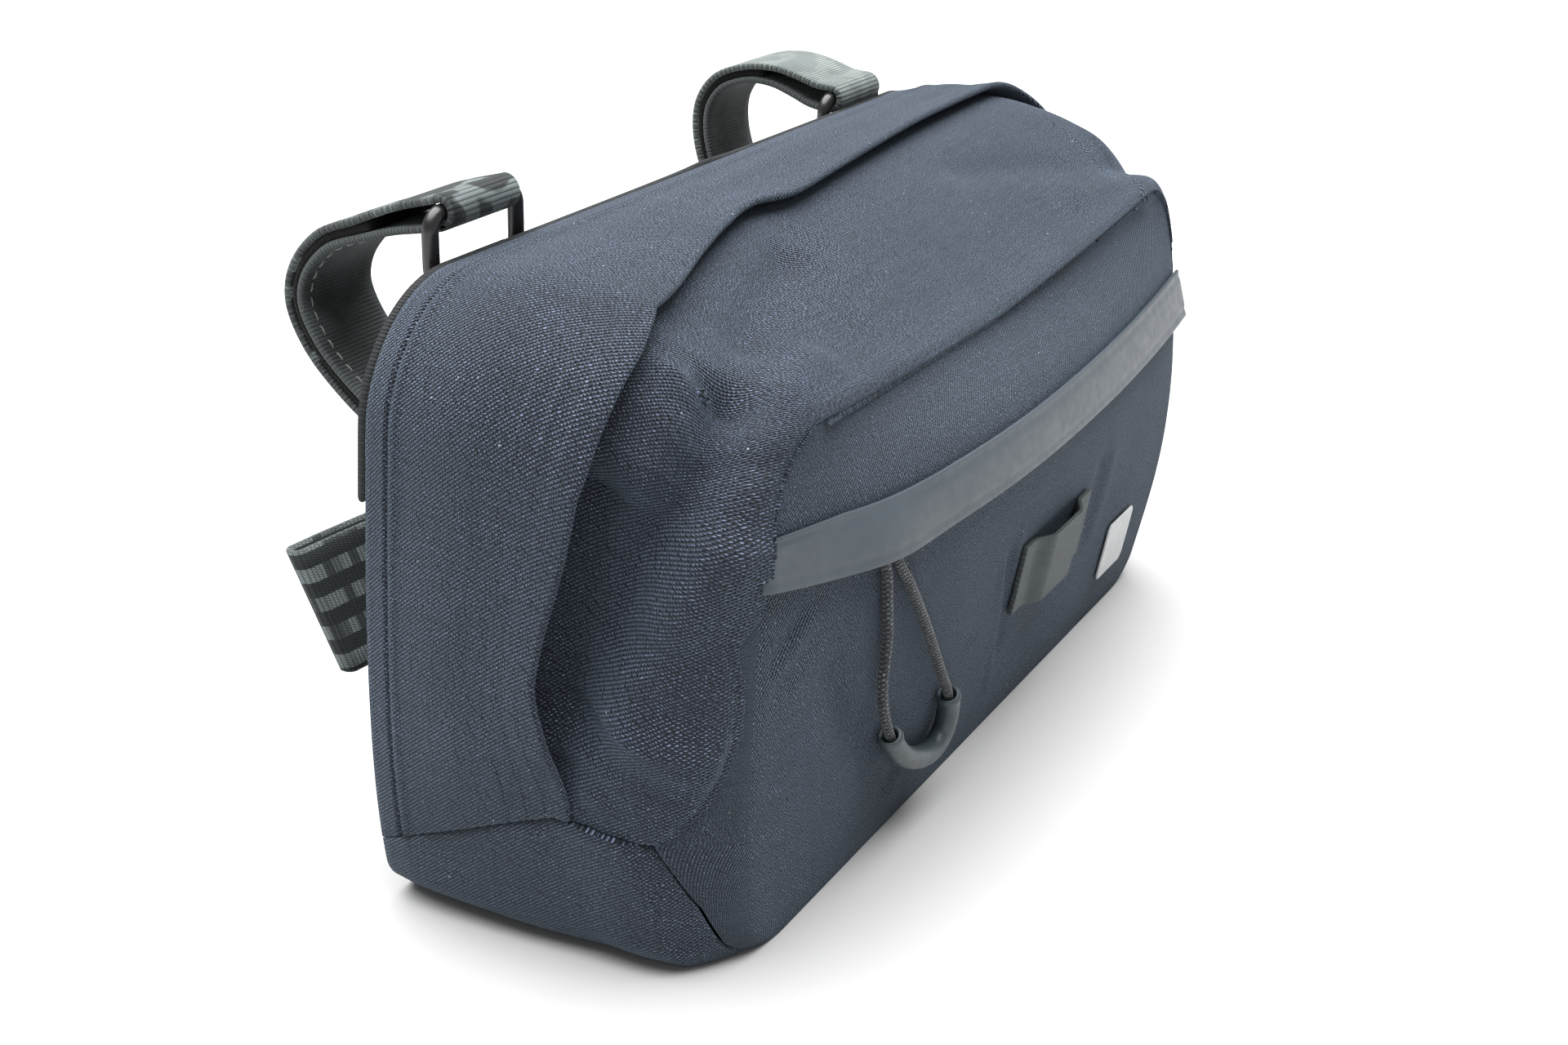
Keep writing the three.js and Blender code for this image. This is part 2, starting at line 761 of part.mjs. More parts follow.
// Gusset: the folded band from under the hood to the front seam
function gusset() {
  const places = bandPlaces(GUSSET_FOOT, 14, 8, 10);
  const rows = spread(0, 1, 12).map((share) =>
    places.map((along) => {
      const reach = readSmooth(HOOD_EDGE, "along", "reach", along);
      const front = seamDepth(along) - GAP / BODY_DEPTH;
      const depth = mix(reach - HOOD_OVERLAP, front, share);
      return sidePoint(along, depth, foldHeight(along, depth));
    }),
  );
  return sheet(rows, inwards(rows, FABRIC));
}

// Base piece: flat bottom with its rising ends
function basePanel() {
  const limit = SEAM_LIMIT - (3 * GAP) / BODY_DEPTH;
  const knots = BASE_EDGE.slice(2).map((row) => row.depth - GAP / BODY_DEPTH);
  const between = knots.slice(1).map((depth, i) => (depth + knots[i]) / 2);
  const inner = [0, 0.15, 0.3, 0.45, ...knots, ...between].filter((depth) => depth < limit);
  const depths = [...inner.sort((a, b) => a - b), limit];
  const laid = (lift) =>
    depths.map((depth) => {
      const foot = Math.min(baseEdge(depth), baseEdge(depth + GAP / BODY_DEPTH));
      const left = spread(foot, 1, 8);
      const right = left.map((along) => RING_TURNS - along).reverse();
      const middle = [0.5, RING_TURNS - 0.5];
      return [...left, ...middle, ...right].map((along) => sidePoint(along, depth, lift));
    });
  return sheet(laid(0), laid(-HOOD_WALL));
}

// Height of the zip's middle under a given x: it curls up towards the left corner
function zipMiddle(x) {
  const level = FLAP_TOP - FLAP_HEIGHT / 2;
  const reach = Math.abs(ringPoint(placeAtHeight(level), 1).x);
  return level + ZIP_CURL * Math.pow(clamp01((CURL_LENGTH - reach - x) / CURL_LENGTH), 2);
}

// Ring place beside the zip at a share across, some way above or below its middle
function zipPlace(across, above) {
  const level = placeAtHeight(FLAP_TOP - FLAP_HEIGHT / 2);
  const edge = ringPoint(across < 0 ? level : RING_TURNS - level, 1);
  return placeAtHeight(zipMiddle(across * Math.abs(edge.x)) + above);
}

// Lower front panel: it wraps back round both lower corners
function frontLower() {
  const straight = [1.0, 1.3, 1.6, 1.8, 2.0, 2.13, 2.27, 2.3, 2.38, 2.46, 2.55];
  const last = straight[straight.length - 1];
  const placesAt = (across) => {
    const top = zipPlace(across, -ZIP_SLOT / 2);
    return [...straight, ...[1, 2, 3, 4].map((step) => mix(last, top, step / 4))];
  };
  const wrap = (row, lift) => {
    const [left, right] = [-1, 1].map((across) => {
      const along = placesAt(across)[row];
      const start = seamDepth(along) + GAP / BODY_DEPTH;
      const depths = spread(Math.min(start, 1 - GAP / BODY_DEPTH), 1, 3).slice(0, -1);
      const place = across < 0 ? along : RING_TURNS - along;
      return depths.map((depth) => sidePoint(place, depth, lift));
    });
    return [left, right.reverse()];
  };
  const rows = placesAt(0).map((_, row) => {
    const [left, right] = wrap(row, 0);
    const face = spread(-1, 1, 18).map((across) => frontPoint(across, placesAt(across)[row], 0));
    return [...left, ...face, ...right];
  });
  const inner = inwards(rows, FABRIC).map((line, row) => {
    const [left, right] = wrap(row, -FABRIC);
    return [...left, ...line.slice(left.length, -right.length), ...right];
  });
  return sheet(rows, inner);
}

// Upper front panel, tucked inside the gusset's front edge
function frontUpper() {
  const rows = [0, 0.07, 0.25, 0.44, 0.63, 0.82, 1].map((share) =>
    spread(-1, 1, 22).map((across) => {
      const along = mix(zipPlace(across, ZIP_SLOT / 2), 4, share);
      return frontPoint(across, along, EDGE_INSET);
    }),
  );
  return sheet(rows, inwards(rows, FABRIC));
}

// Half length of the front at the zip, on the side that a share across lies
function reachAt(across, margin) {
  const along = placeAtHeight(FLAP_TOP - FLAP_HEIGHT / 2);
  return Math.abs(ringPoint(across < 0 ? along : RING_TURNS - along, 1).x) - margin;
}

// Rubbery cover over the zip, raised along its lower edge and turned round the left corner
function zipCover() {
  const rows = spread(0, 1, 4).map((share) => {
    const lift = TOUCH + FLAP_RISE * (1 - share) + FLAP_WALL;
    const above = FLAP_HEIGHT * (share - 0.5);
    const along = zipPlace(-1, above);
    const start = Math.min(seamDepth(along) + (2 * GAP) / BODY_DEPTH, 1 - GAP / BODY_DEPTH);
    const turned = spread(start, 1, 2).slice(0, -1).map((depth) => sidePoint(along, depth, lift));
    const face = spread(-1, 1, 24).map((across) => {
      const x = across * reachAt(across, 0);
      const near = Math.exp(-Math.pow((x - SLIDER_X) / SLIDER_REACH, 2));
      return frontAt(x, zipMiddle(x) + above, lift + SLIDER_BUMP * near * (1 - share * share));
    });
    return [...turned, ...face];
  });
  return sheet(rows, inwards(rows, FLAP_WALL));
}

// Zip tape behind the slot between the two front panels
function zipTape() {
  const rows = spread(-TAPE_HEIGHT / 2, TAPE_HEIGHT / 2, 2).map((rise) =>
    spread(-1, 1, 18).map((across) => {
      const x = across * reachAt(across, 2 * EDGE_INSET);
      return frontAt(x, zipMiddle(x) + rise, -FABRIC - GAP);
    }),
  );
  return sheet(rows, inwards(rows, TAPE_WALL));
}

// Slider: a block in the slot with a tongue that reaches down under the cover
function zipSlider() {
  const middle = zipMiddle(SLIDER_X);
  const half = ZIP_SLOT / 2 - 3 * TOUCH;
  const profile = new THREE.Shape();
  profile.moveTo(-FABRIC + TOUCH, -half);
  profile.lineTo(TOUCH, -half);
  profile.lineTo(TOUCH, -half - SLIDER_DROP);
  profile.lineTo(TOUCH + TONGUE_WALL, -half - SLIDER_DROP);
  profile.lineTo(TOUCH + TONGUE_WALL, 0);
  profile.lineTo(TOUCH, half);
  profile.lineTo(-FABRIC + TOUCH, half);
  profile.closePath();
  const geometry = new THREE.ExtrudeGeometry(profile, {
    depth: SLIDER_WIDTH,
    bevelEnabled: false,
  });
  geometry.translate(0, 0, -SLIDER_WIDTH / 2);
  const seat = frontAt(SLIDER_X, middle, 0);
  const out = frontAt(SLIDER_X, middle, 1).sub(seat).normalize();
  const up = frontAt(SLIDER_X, middle + 1, 0).sub(seat).normalize();
  const side = out.clone().cross(up).normalize();
  const upright = side.clone().cross(out).normalize();
  geometry.applyMatrix4(new THREE.Matrix4().makeBasis(out, upright, side).setPosition(seat));
  return geometry;
}

const CORD_CURVE = new THREE.CatmullRomCurve3(
  CORD_ROUTE.map((point) => vec(...point)),
  false,
  "centripetal",
);

// Pull cord: one round cord along the chosen route
function pullCord() {
  return new THREE.ExtrudeGeometry(roundSection(CORD_DIAMETER, 8), {
    steps: 42,
    extrudePath: CORD_CURVE,
    bevelEnabled: false,
  });
}

// Grip: a bored tube bent round the foot of the cord
function pullGrip() {
  const last = CORD_ROUTE.length - 1;
  const points = spread(GRIP_FIRST / last, GRIP_LAST / last, 24).map((t) => CORD_CURVE.getPoint(t));
  const section = roundSection(GRIP_DIAMETER, 12);
  section.holes.push(roundSection(GRIP_BORE, 8));
  return new THREE.ExtrudeGeometry(section, {
    steps: 12,
    extrudePath: new THREE.CatmullRomCurve3(points, false, "centripetal"),
    bevelEnabled: false,
  });
}

// Many-sided round section
function roundSection(diameter, sides) {
  const radius = diameter / 2;
  const turns = spread(0, 2 * Math.PI, sides).slice(0, -1);
  const corner = (turn) => new THREE.Vector2(radius * Math.cos(turn), radius * Math.sin(turn));
  return new THREE.Shape(turns.map(corner));
}

// Light loop: webbing sewn at both ends, open at its top and bottom
function lightLoop() {
  const slot = (share) => {
    const sewn = LOOP_SEWN / LOOP_LENGTH;
    return LOOP_SLOT * ease((0.5 - Math.abs(share - 0.5) - sewn) / 0.18);
  };
  const rows = spread(-0.5, 0.5, 3).map((rise) =>
    spread(0, 1, 14).map((share) => {
      const x = LOOP_X + (share - 0.5) * LOOP_LENGTH;
      return frontAt(x, LOOP_Z + rise * LOOP_HEIGHT, TOUCH + LOOP_WALL + slot(share));
    }),
  );
  return sheet(rows, inwards(rows, LOOP_WALL));
}

// Plain pale patch low on the right of the front
function patch() {
  const rows = spread(-0.5, 0.5, 3).map((rise) =>
    spread(-0.5, 0.5, 4).map((across) =>
      frontAt(
        PATCH_X + across * PATCH_WIDTH,
        PATCH_Z + rise * PATCH_HEIGHT,
        TOUCH + PATCH_WALL,
      ),
    ),
  );
  return sheet(rows, inwards(rows, PATCH_WALL));
}

// Places of a ring's two bars, behind the strap panel
const RING_Y = BACK_Y + 2 * TOUCH + PANEL_WALL + ANCHOR_WALL + TOUCH + RING_WIRE / 2;
const RING_PITCH = RING_WINDOW + RING_WIRE;
const RING_HALF = STRAP_WIDTH / 2 + RING_SLACK + RING_WIRE / 2;

// Wire ring: an upright rounded rectangle
function ring(top) {
  const corner = RING_WIRE;
  const foot = top - RING_PITCH;
  const centres = [];
  const corners = [
    [1, foot + corner, -90],
    [1, top - corner, 0],
    [-1, top - corner, 90],
    [-1, foot + corner, 180],
  ];
  for (const [side, z, start] of corners) {
    const x = side * (RING_HALF - corner);
    for (const turn of spread(start, start + 90, 4)) {
      const angle = THREE.MathUtils.degToRad(turn);
      centres.push(vec(x + corner * Math.cos(angle), RING_Y, z + corner * Math.sin(angle)));
    }
  }
  return wireLoop(centres, vec(0, 1, 0), RING_WIRE / 2, 8);
}

// Points of a half turn of webbing round a bar, seen from the side
function halfTurn(y, z, radius, fromDegrees, toDegrees, steps) {
  return spread(fromDegrees, toDegrees, steps).map((turn) => {
    const angle = THREE.MathUtils.degToRad(turn);
    return vec(0, y + radius * Math.cos(angle), z + radius * Math.sin(angle));
  });
}

// Short anchor webbing that holds the ring's lower bar
function anchor(top) {
  const bar = top - RING_PITCH;
  const radius = RING_WIRE / 2 + TOUCH + ANCHOR_WALL / 2;
  const near = RING_Y - radius;
  const far = near + ANCHOR_WALL + TOUCH;
  const foot = bar - ANCHOR_LENGTH;
  const route = [
    vec(0, near, foot),
    ...halfTurn(RING_Y, bar, radius, 180, 0, 8),
    vec(0, RING_Y + radius * 0.8, bar - RING_WIRE),
    vec(0, far, bar - 2.4 * RING_WIRE),
    vec(0, far, foot),
  ];
  return ribbon(route, () => vec(1, 0, 0), STRAP_WIDTH, ANCHOR_WALL);
}

// Handlebar strap: from its sewn root round behind, through the ring and back inside
function strap(top, table) {
  const rootY = BACK_Y + TOUCH + STRAP_WALL / 2;
  const radius = RING_WIRE / 2 + TOUCH + STRAP_WALL / 2;
  const height = top + radius - STRAP_ROOT;
  const guide = table.map((row) =>
    vec(0, rootY + row.back * STRAP_REACH, STRAP_ROOT + row.up * height),
  );
  const outer = smoothRoute([...guide, vec(0, RING_Y, top + radius)], 24);
  const inner = outer.map((point, i) => {
    const before = outer[Math.max(i - 1, 0)];
    const after = outer[Math.min(i + 1, outer.length - 1)];
    const tangent = after.clone().sub(before).normalize();
    const inward = vec(0, -tangent.z, tangent.y);
    const share = i / (outer.length - 1);
    const apart = mix(STRAP_WALL + STRAP_LAYERS, 2 * radius, ease((share - 0.75) / 0.25));
    return point.clone().addScaledVector(inward, apart);
  });
  const route = [
    vec(0, rootY, STRAP_ROOT - STRAP_TAB),
    vec(0, rootY, STRAP_ROOT - STRAP_WALL * 1.5),
    ...outer.slice(1),
    ...halfTurn(RING_Y, top, radius, 90, 270, 8).slice(1, -1),
    ...inner.slice(4).reverse(),
  ];
  return ribbon(route, () => vec(1, 0, 0), STRAP_WIDTH, STRAP_WALL);
}

// Lower strap: sewn at the middle of the back, folded over at its left end
function lowerStrap() {
  const rootY = BACK_Y + TOUCH + LOWER_WALL / 2;
  const guide = LOWER_ROUTE.map((row) =>
    vec(-row.along * LOWER_LENGTH, rootY + row.back * LOWER_REACH, LOWER_Z - row.sink * LOWER_DROP),
  );
  const first = smoothRoute(guide, 16);
  const apart = LOWER_WALL + LOWER_LAYERS;
  const normalAt = (i) => {
    const before = first[Math.max(i - 1, 0)];
    const after = first[Math.min(i + 1, first.length - 1)];
    const tangent = after.clone().sub(before).setZ(0).normalize();
    return vec(tangent.y, -tangent.x, 0);
  };
  const second = first.map((point, i) => point.clone().addScaledVector(normalAt(i), apart));
  const tip = first[first.length - 1];
  const out = normalAt(first.length - 1);
  const ahead = vec(-out.y, out.x, 0);
  const fold = [40, 90, 140].map((degrees) => {
    const angle = THREE.MathUtils.degToRad(degrees);
    const point = tip.clone().addScaledVector(out, (apart / 2) * (1 - Math.cos(angle)));
    return point.addScaledVector(ahead, (apart / 2) * Math.sin(angle));
  });
  const kept = Math.round(second.length * (1 - LOWER_RETURN));
  const back = second.slice(kept).reverse();
  const route = [vec(LOWER_TAB, rootY, LOWER_Z), ...first, ...fold, ...back];
  const turnShare = (first.length + 2) / (route.length - 1);
  const width = (share) => {
    const far = clamp01(1 - Math.abs(share - turnShare) / turnShare);
    return vec(0, LOWER_LEAN * ease(far), 1);
  };
  return ribbon(route, width, LOWER_WIDTH, LOWER_WALL);
}

const bag = new THREE.Group();

function add(name, geometry, finish, x = 0) {
  const mesh = new THREE.Mesh(geometry, new THREE.MeshStandardMaterial(FINISH[finish]));
  mesh.name = name;
  mesh.position.x = x;
  bag.add(mesh);
}

add("back_panel", backPanel(), "fabric");
add("strap_panel", strapPanel(), "webbing");
add("hood", hood(), "fabric");
add("gusset", gusset(), "fabric");
add("base_panel", basePanel(), "fabric");
add("front_lower", frontLower(), "fabric");
add("front_upper", frontUpper(), "fabric");
add("zip_cover", zipCover(), "cover");
add("zip_tape", zipTape(), "webbing");
add("zip_slider", zipSlider(), "metal");
add("pull_cord", pullCord(), "cord");
add("pull_grip", pullGrip(), "plastic");
add("light_loop", lightLoop(), "webbing");
add("plain_patch", patch(), "patch");
add("lower_strap", lowerStrap(), "webbing");
for (const [side, x, rise, table] of [
  ["left", -STRAP_X, RING_RISE, LEFT_ROUTE],
  ["right", STRAP_X, RIGHT_RING_RISE, RIGHT_ROUTE],
]) {
  const top = BODY_HEIGHT + rise;
  add(`ring_${side}`, ring(top), "metal", x);
  add(`anchor_${side}`, anchor(top), "webbing", x);
  add(`strap_${side}`, strap(top, table), "webbing", x);
}

export default bag;
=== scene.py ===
# Looks of the handlebar bag: sewn panels, webbing, pull cord, finishes, camera and light.
import math

import bpy
import numpy as np
from mathutils import Matrix, Vector


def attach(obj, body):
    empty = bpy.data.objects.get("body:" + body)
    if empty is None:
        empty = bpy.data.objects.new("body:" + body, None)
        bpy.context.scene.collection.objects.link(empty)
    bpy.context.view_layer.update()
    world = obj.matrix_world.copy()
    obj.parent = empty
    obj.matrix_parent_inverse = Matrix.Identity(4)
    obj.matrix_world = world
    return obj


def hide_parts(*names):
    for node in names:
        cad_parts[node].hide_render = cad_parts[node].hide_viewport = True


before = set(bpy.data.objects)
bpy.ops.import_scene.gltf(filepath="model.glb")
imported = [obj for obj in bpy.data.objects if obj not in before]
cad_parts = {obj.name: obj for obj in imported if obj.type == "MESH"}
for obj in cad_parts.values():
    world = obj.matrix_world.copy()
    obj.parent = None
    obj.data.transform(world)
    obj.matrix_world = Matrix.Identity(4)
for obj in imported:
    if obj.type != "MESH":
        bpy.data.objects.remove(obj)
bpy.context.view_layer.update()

MM = 0.001

# Camera, in millimetres and radians
CAMERA_PLACE = (-445.9, -221.9, 273.5)
CAMERA_YAW = 1.0804
CAMERA_PITCH = 0.4181
CAMERA_ROLL = 0.0354
SENSOR = 36.0
LENS = SENSOR * 2500 / 1920

# Body, in millimetres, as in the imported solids
HALF_LENGTH = 137
BODY_HEIGHT = 145
BODY_DEPTH = 84
END_BULGE = 6
BULGE_LEAN = 0.65
END_INSET = 23
RIGHT_INSET = 17
RIGHT_SWELL = 7
RIGHT_LIFT = 6
RIGHT_SQUARENESS = 0.6
TOP_DROP = 22
TOP_SAG = 4
TOP_CORNER = 28
BOTTOM_CORNER = 10
FRONT_BULGE = 13
FOLD_DEPTH = 13
FOLD_WIDTH = 10
FOLD_FADE = 0.025
FOLD_BLEND = 2.5
FOLD_TAPER = 14
FOLD_END = 0.25
RIGHT_FOLDS = 0.45
BACK_Y = BODY_DEPTH / 2
FRONT_Y = -BODY_DEPTH / 2
FRONT_TOP = BODY_HEIGHT - TOP_DROP
TURNS = 9

# Walls, clearances and seams
FABRIC = 1.6
HOOD_WALL = 1.8
GAP = 0.4
TOUCH = 0.3
HOOD_LIFT = HOOD_WALL + TOUCH + GAP
HOOD_FLARE = 2.0
HOOD_OVERLAP = 0.1
HOOD_FLAT = 0.6
HEM = 7.0
ROLL_RISE = 1.2
ROLL_WIDTH = 2.6
ROLL_FADE = 8.0
ROLL_OVERHANG = 3.2
ROLL_OVER_STRIP = 2.6
LOBE_RISE = 0.6
LOBE_OVERHANG = 1.2
LIP = 1.4
FOOT_CALM = 8
THIN_EDGE = 0.5
THIN_ROWS = 14
EDGE_ROWS = 8
FRONT_TUCK = 0.9
CORNER_SOFTNESS = 3.0
BACK_SEAM = 8.5
BACK_WALL = 2.5
STRAP_PANEL_WALL = 2.0
STRAP_PANEL_HEIGHT = 44
BACK_RIDGE = 0.4
BACK_GROOVE = 0.75
HEM_STEP = 0.15
HOOD_OPENS = 22
CREASE_RISE = 2.4
CREASE_FALL = 16
SEAM_LIMIT = 1 - (FABRIC + GAP) / BODY_DEPTH
END_GAP = GAP / (BODY_HEIGHT - TOP_CORNER - BOTTOM_CORNER)
GUSSET_FOOT = 2.3
FOOT_DEPTH = 0.82
LOBE_TOP = 2.85
LOBE_FADE = 0.12
HANG_TOP = 3.45
HANG_FADE = 0.25
FLAP_TOP = FRONT_TOP - 24.5
FLAP_HEIGHT = 12
ZIP_LEVEL = FLAP_TOP - FLAP_HEIGHT / 2
FLAP_WALL = 1.2
FLAP_RISE = 2.0
ZIP_CURL = 6
CURL_LENGTH = 62
FLAP_GROOVE = 0.3
ZIP_SLOT = 4
SLIDER_X = -77
SLIDER_BUMP = 1.6
SLIDER_REACH = 16

# Light loop and plain patch
LOOP_X = 27
LOOP_Z = 47
LOOP_LENGTH = 46
LOOP_HEIGHT = 19
LOOP_WALL = 1.3
LOOP_SLOT = 3
LOOP_SEWN = 6
PATCH_X = 93
PATCH_Z = 23
PATCH_WIDTH = 20
PATCH_HEIGHT = 18
PATCH_WALL = 0.6

# Straps
STRAP_X = 91
STRAP_WIDTH = 25
STRAP_WALL = 1.8
STRAP_LAYERS = 2.0
STRAP_REACH = 50
STRAP_ROOT = 88
STRAP_TAB = 14
STRAP_INNER = slice(16, None)
STRAP_PILE = slice(17, 80)
THREAD_INSET = 3
THREAD_SEEN = slice(20, 78)
THREAD_RUN = 2.6
THREAD_GAP = 1.0
THREAD_RADIUS = 0.22
THREAD_LIFT = 0.05
RING_WIRE = 3.8
RING_INSIDE = 11.4
RING_RISE = {"left": 8, "right": 1}
ANCHOR_WALL = 1.4
ANCHOR_LENGTH = 22
RING_Y = BACK_Y + 2 * TOUCH + STRAP_PANEL_WALL + ANCHOR_WALL + TOUCH + RING_WIRE / 2
LOWER_WIDTH = 32
LOWER_WALL = 1.6
LOWER_LAYERS = 2.2
LOWER_Z = 64
LOWER_LENGTH = 113
LOWER_REACH = 35
LOWER_DROP = 11
LOWER_LEAN = 0.53
LOWER_TAB = 14
LOWER_RETURN = 0.72

# Studio: a wide soft light from above, a faint one all round and the floor's reflectance
WORLD_STRENGTH = 0.35
SUN_STRENGTH = 9.2
SUN_ANGLE = math.radians(80)
SUN_TILT = (math.radians(-10), math.radians(4))
FLOOR_ALBEDO = 0.5
FLOOR_SIZE = 30.0
FLOOR_Z = -0.0002

# Weaves, in metres
WARP_PITCH = 0.00048
WEFT_PITCH = 0.00058
CAMO_PITCH = 0.0010
SELVEDGE_PITCH = 0.0016
WEBBING_SHEEN = (0.85, 0.93, 0.95)
RIB_SHADE = (0.004, 0.005, 0.005)

# Pull cord in metres: its route is the one that the solids follow
CORD_DIAMETER = 0.0025
GRIP_DIAMETER = 5.9
GRIP_BORE = 3.6
GRIP_FIRST = 9
GRIP_LAST = 17
CORD_ROUTE = [
    (-0.0796, -0.0509, 0.0883),
    (-0.0788, -0.0511, 0.0856),
    (-0.0774, -0.0512, 0.0824),
    (-0.0762, -0.0511, 0.0766),
    (-0.0750, -0.0509, 0.0707),
    (-0.0737, -0.0506, 0.0648),
    (-0.0735, -0.0503, 0.0592),
    (-0.0734, -0.0499, 0.0528),
    (-0.0719, -0.0498, 0.0451),
    (-0.0675, -0.0497, 0.0360),
    (-0.0630, -0.0493, 0.0304),
    (-0.0570, -0.0488, 0.0250),
    (-0.0503, -0.0485, 0.0209),
    (-0.0434, -0.0483, 0.0181),
    (-0.0373, -0.0484, 0.0179),
    (-0.0336, -0.0489, 0.0210),
    (-0.0335, -0.0497, 0.0266),
    (-0.0364, -0.0506, 0.0328),
    (-0.0435, -0.0513, 0.0424),
    (-0.0492, -0.0516, 0.0508),
    (-0.0564, -0.0521, 0.0609),
    (-0.0629, -0.0523, 0.0698),
    (-0.0683, -0.0522, 0.0773),
    (-0.0722, -0.0519, 0.0822),
    (-0.0740, -0.0518, 0.0854),
    (-0.0751, -0.0515, 0.0883),
]


def columns(names, rows):
    """Table with named columns."""
    return dict(zip(names.split(), np.array(rows, float).T))


# Body sections from back to front, as shares
SECTIONS = columns("depth inset drop corner sag", [
    (0.0, 0.05, 0.05, 1.0, 0.0),
    (0.1, 0.0, 0.0, 1.0, 0.0),
    (0.35, 0.02, 0.0, 1.0, 0.1),
    (0.55, 0.1, 0.14, 0.97, 0.4),
    (0.75, 0.25, 0.5, 0.92, 0.8),
    (0.88, 0.48, 0.78, 0.86, 1.0),
    (0.95, 0.72, 0.91, 0.82, 1.0),
    (1.0, 1.0, 1.0, 0.8, 1.0),
])
# Outward swell of the front over its height
BELLY = columns("up out", [
    (0.0, 0.0),
    (0.12, 0.2),
    (0.4, 0.62),
    (0.72, 1.0),
    (0.86, 0.72),
    (1.0, -0.2),
])
# Edges and seams as ring places and depths, mirrored at the right end
HOOD_EDGE = columns("along reach", [
    (2.2, 0.605),
    (2.33, 0.6),
    (2.45, 0.565),
    (2.57, 0.53),
    (2.66, 0.545),
    (2.87, 0.6),
    (3.13, 0.637),
    (3.65, 0.645),
    (3.85, 0.62),
    (4.03, 0.575),
    (4.16, 0.49),
    (4.24, 0.44),
    (4.32, 0.405),
    (4.39, 0.43),
    (4.5, 0.41),
    (4.65, 0.38),
    (4.8, 0.355),
    (5.0, 0.35),
    (5.3, 0.38),
    (5.6, 0.46),
    (6.2, 0.52),
    (6.6, 0.47),
    (7.0, 0.56),
])
BASE_EDGE = columns("depth along", [
    (0.0, 2.06),
    (0.3, 2.17),
    (0.57, 2.27),
    (0.82, 2.27),
    (0.87, 2.19),
    (0.92, 2.1),
    (0.95, 2.0),
    (0.965, 1.6),
    (0.975, 1.0),
])
FRONT_SEAM = columns("along depth", [
    (1.0, 0.975),
    (1.6, 0.965),
    (2.0, 0.95),
    (2.1, 0.92),
    (2.19, 0.87),
    (2.27, 0.82),
    (2.3, 0.865),
    (2.38, 0.925),
    (2.46, 0.955),
    (2.56, 0.975),
    (2.68, 0.975),
    (2.78, 0.955),
    (2.88, 0.975),
    (3.0, 0.988),
    (3.08, 1.0),
    (4.5, 1.0),
])
CREASE = columns("along depth", [
    (1.0, 0.88),
    (1.69, 0.86),
    (2.104, 0.819),
    (2.207, 0.773),
    (2.27, 0.745),
])

# Folds of the gusset: width, rise and a line of ring places and depths
FOLDS = [
    # Crease from the notch of the hood's edge
    (0.55, -0.28, columns("along depth", [(4.33, 0.55), (4.15, 0.68), (4.03, 0.79)])),
    # Long valley behind the front roll, running on towards the base
    (0.72, -0.62, columns("along depth", [
        (4.03, 0.79), (3.78, 0.868), (3.48, 0.9), (3.23, 0.88),
        (3.01, 0.812), (2.91, 0.768), (2.79, 0.73), (2.6, 0.66),
    ])),
    # Hollow under the hood's edge
    (1.1, -0.7, columns("along depth", [
        (3.3, 0.66), (2.85, 0.64), (2.65, 0.6), (2.5, 0.585),
        (2.4, 0.575),
    ])),
    # Swell beside the hollow
    (0.7, 0.3, columns("along depth", [(3.97, 0.726), (3.6, 0.755)])),
    # Front roll
    (0.5, 0.25, columns("along depth", [
        (4.18, 0.84), (4.01, 0.91), (3.39, 0.955), (3.1, 0.93),
        (2.9, 0.885), (2.7, 0.82),
    ])),
    # Pillow of the lower lobe
    (1.5, 0.45, columns("along depth", [(2.62, 0.82), (2.5, 0.8), (2.42, 0.76)])),
    # Ridge behind the lobe
    (0.4, 0.25, columns("along depth", [(2.29, 0.71), (2.36, 0.665), (2.42, 0.645)])),
    # Pocket at the lobe's foot
    (0.7, -0.42, columns("along depth", [(2.46, 0.589), (2.33, 0.592)])),
]

# Wrinkles of the front panel in millimetres: width, height and a line in x and z
FRONT_FOLDS = [
    # Hollow that the cord and its grip lie beside
    (6.0, -1.6, columns("x z", [(-93, 68), (-92, 61), (-89, 54), (-80, 40), (-64, 24), (-48, 12)])),
    # Swell inside the cord's loop
    (5.0, 0.8, columns("x z", [(-85, 60), (-82, 52), (-70, 37), (-57, 22)])),
    # Two creases and a valley beside the light loop
    (1.7, 0.64, columns("x z", [(-9, 58), (-6, 50), (-1, 38), (2, 24), (4, 12)])),
    (1.5, 0.56, columns("x z", [(1, 66), (1.5, 59), (2.5, 48)])),
    (3.0, -0.88, columns("x z", [(-4, 62), (-2, 52), (2, 38), (5, 22)])),
    # Hollow and swell beyond the light loop
    (4.5, -0.88, columns("x z", [(60, 66), (60, 50), (57, 34)])),
    (4.0, 0.64, columns("x z", [(68, 64), (69, 50), (66, 30)])),
    # Puckers under the strip's left end
    (2.4, -0.64, columns("x z", [(-117, 70), (-108, 79), (-100, 84)])),
    (2.4, -0.48, columns("x z", [(-116, 62), (-106, 70), (-97, 75)])),
    (2.6, 0.48, columns("x z", [(-117, 66), (-107, 74), (-98, 80)])),
    (2.4, -0.4, columns("x z", [(-118, 42), (-104, 47)])),
    (2.4, -0.4, columns("x z", [(-118, 33), (-104, 36)])),
]

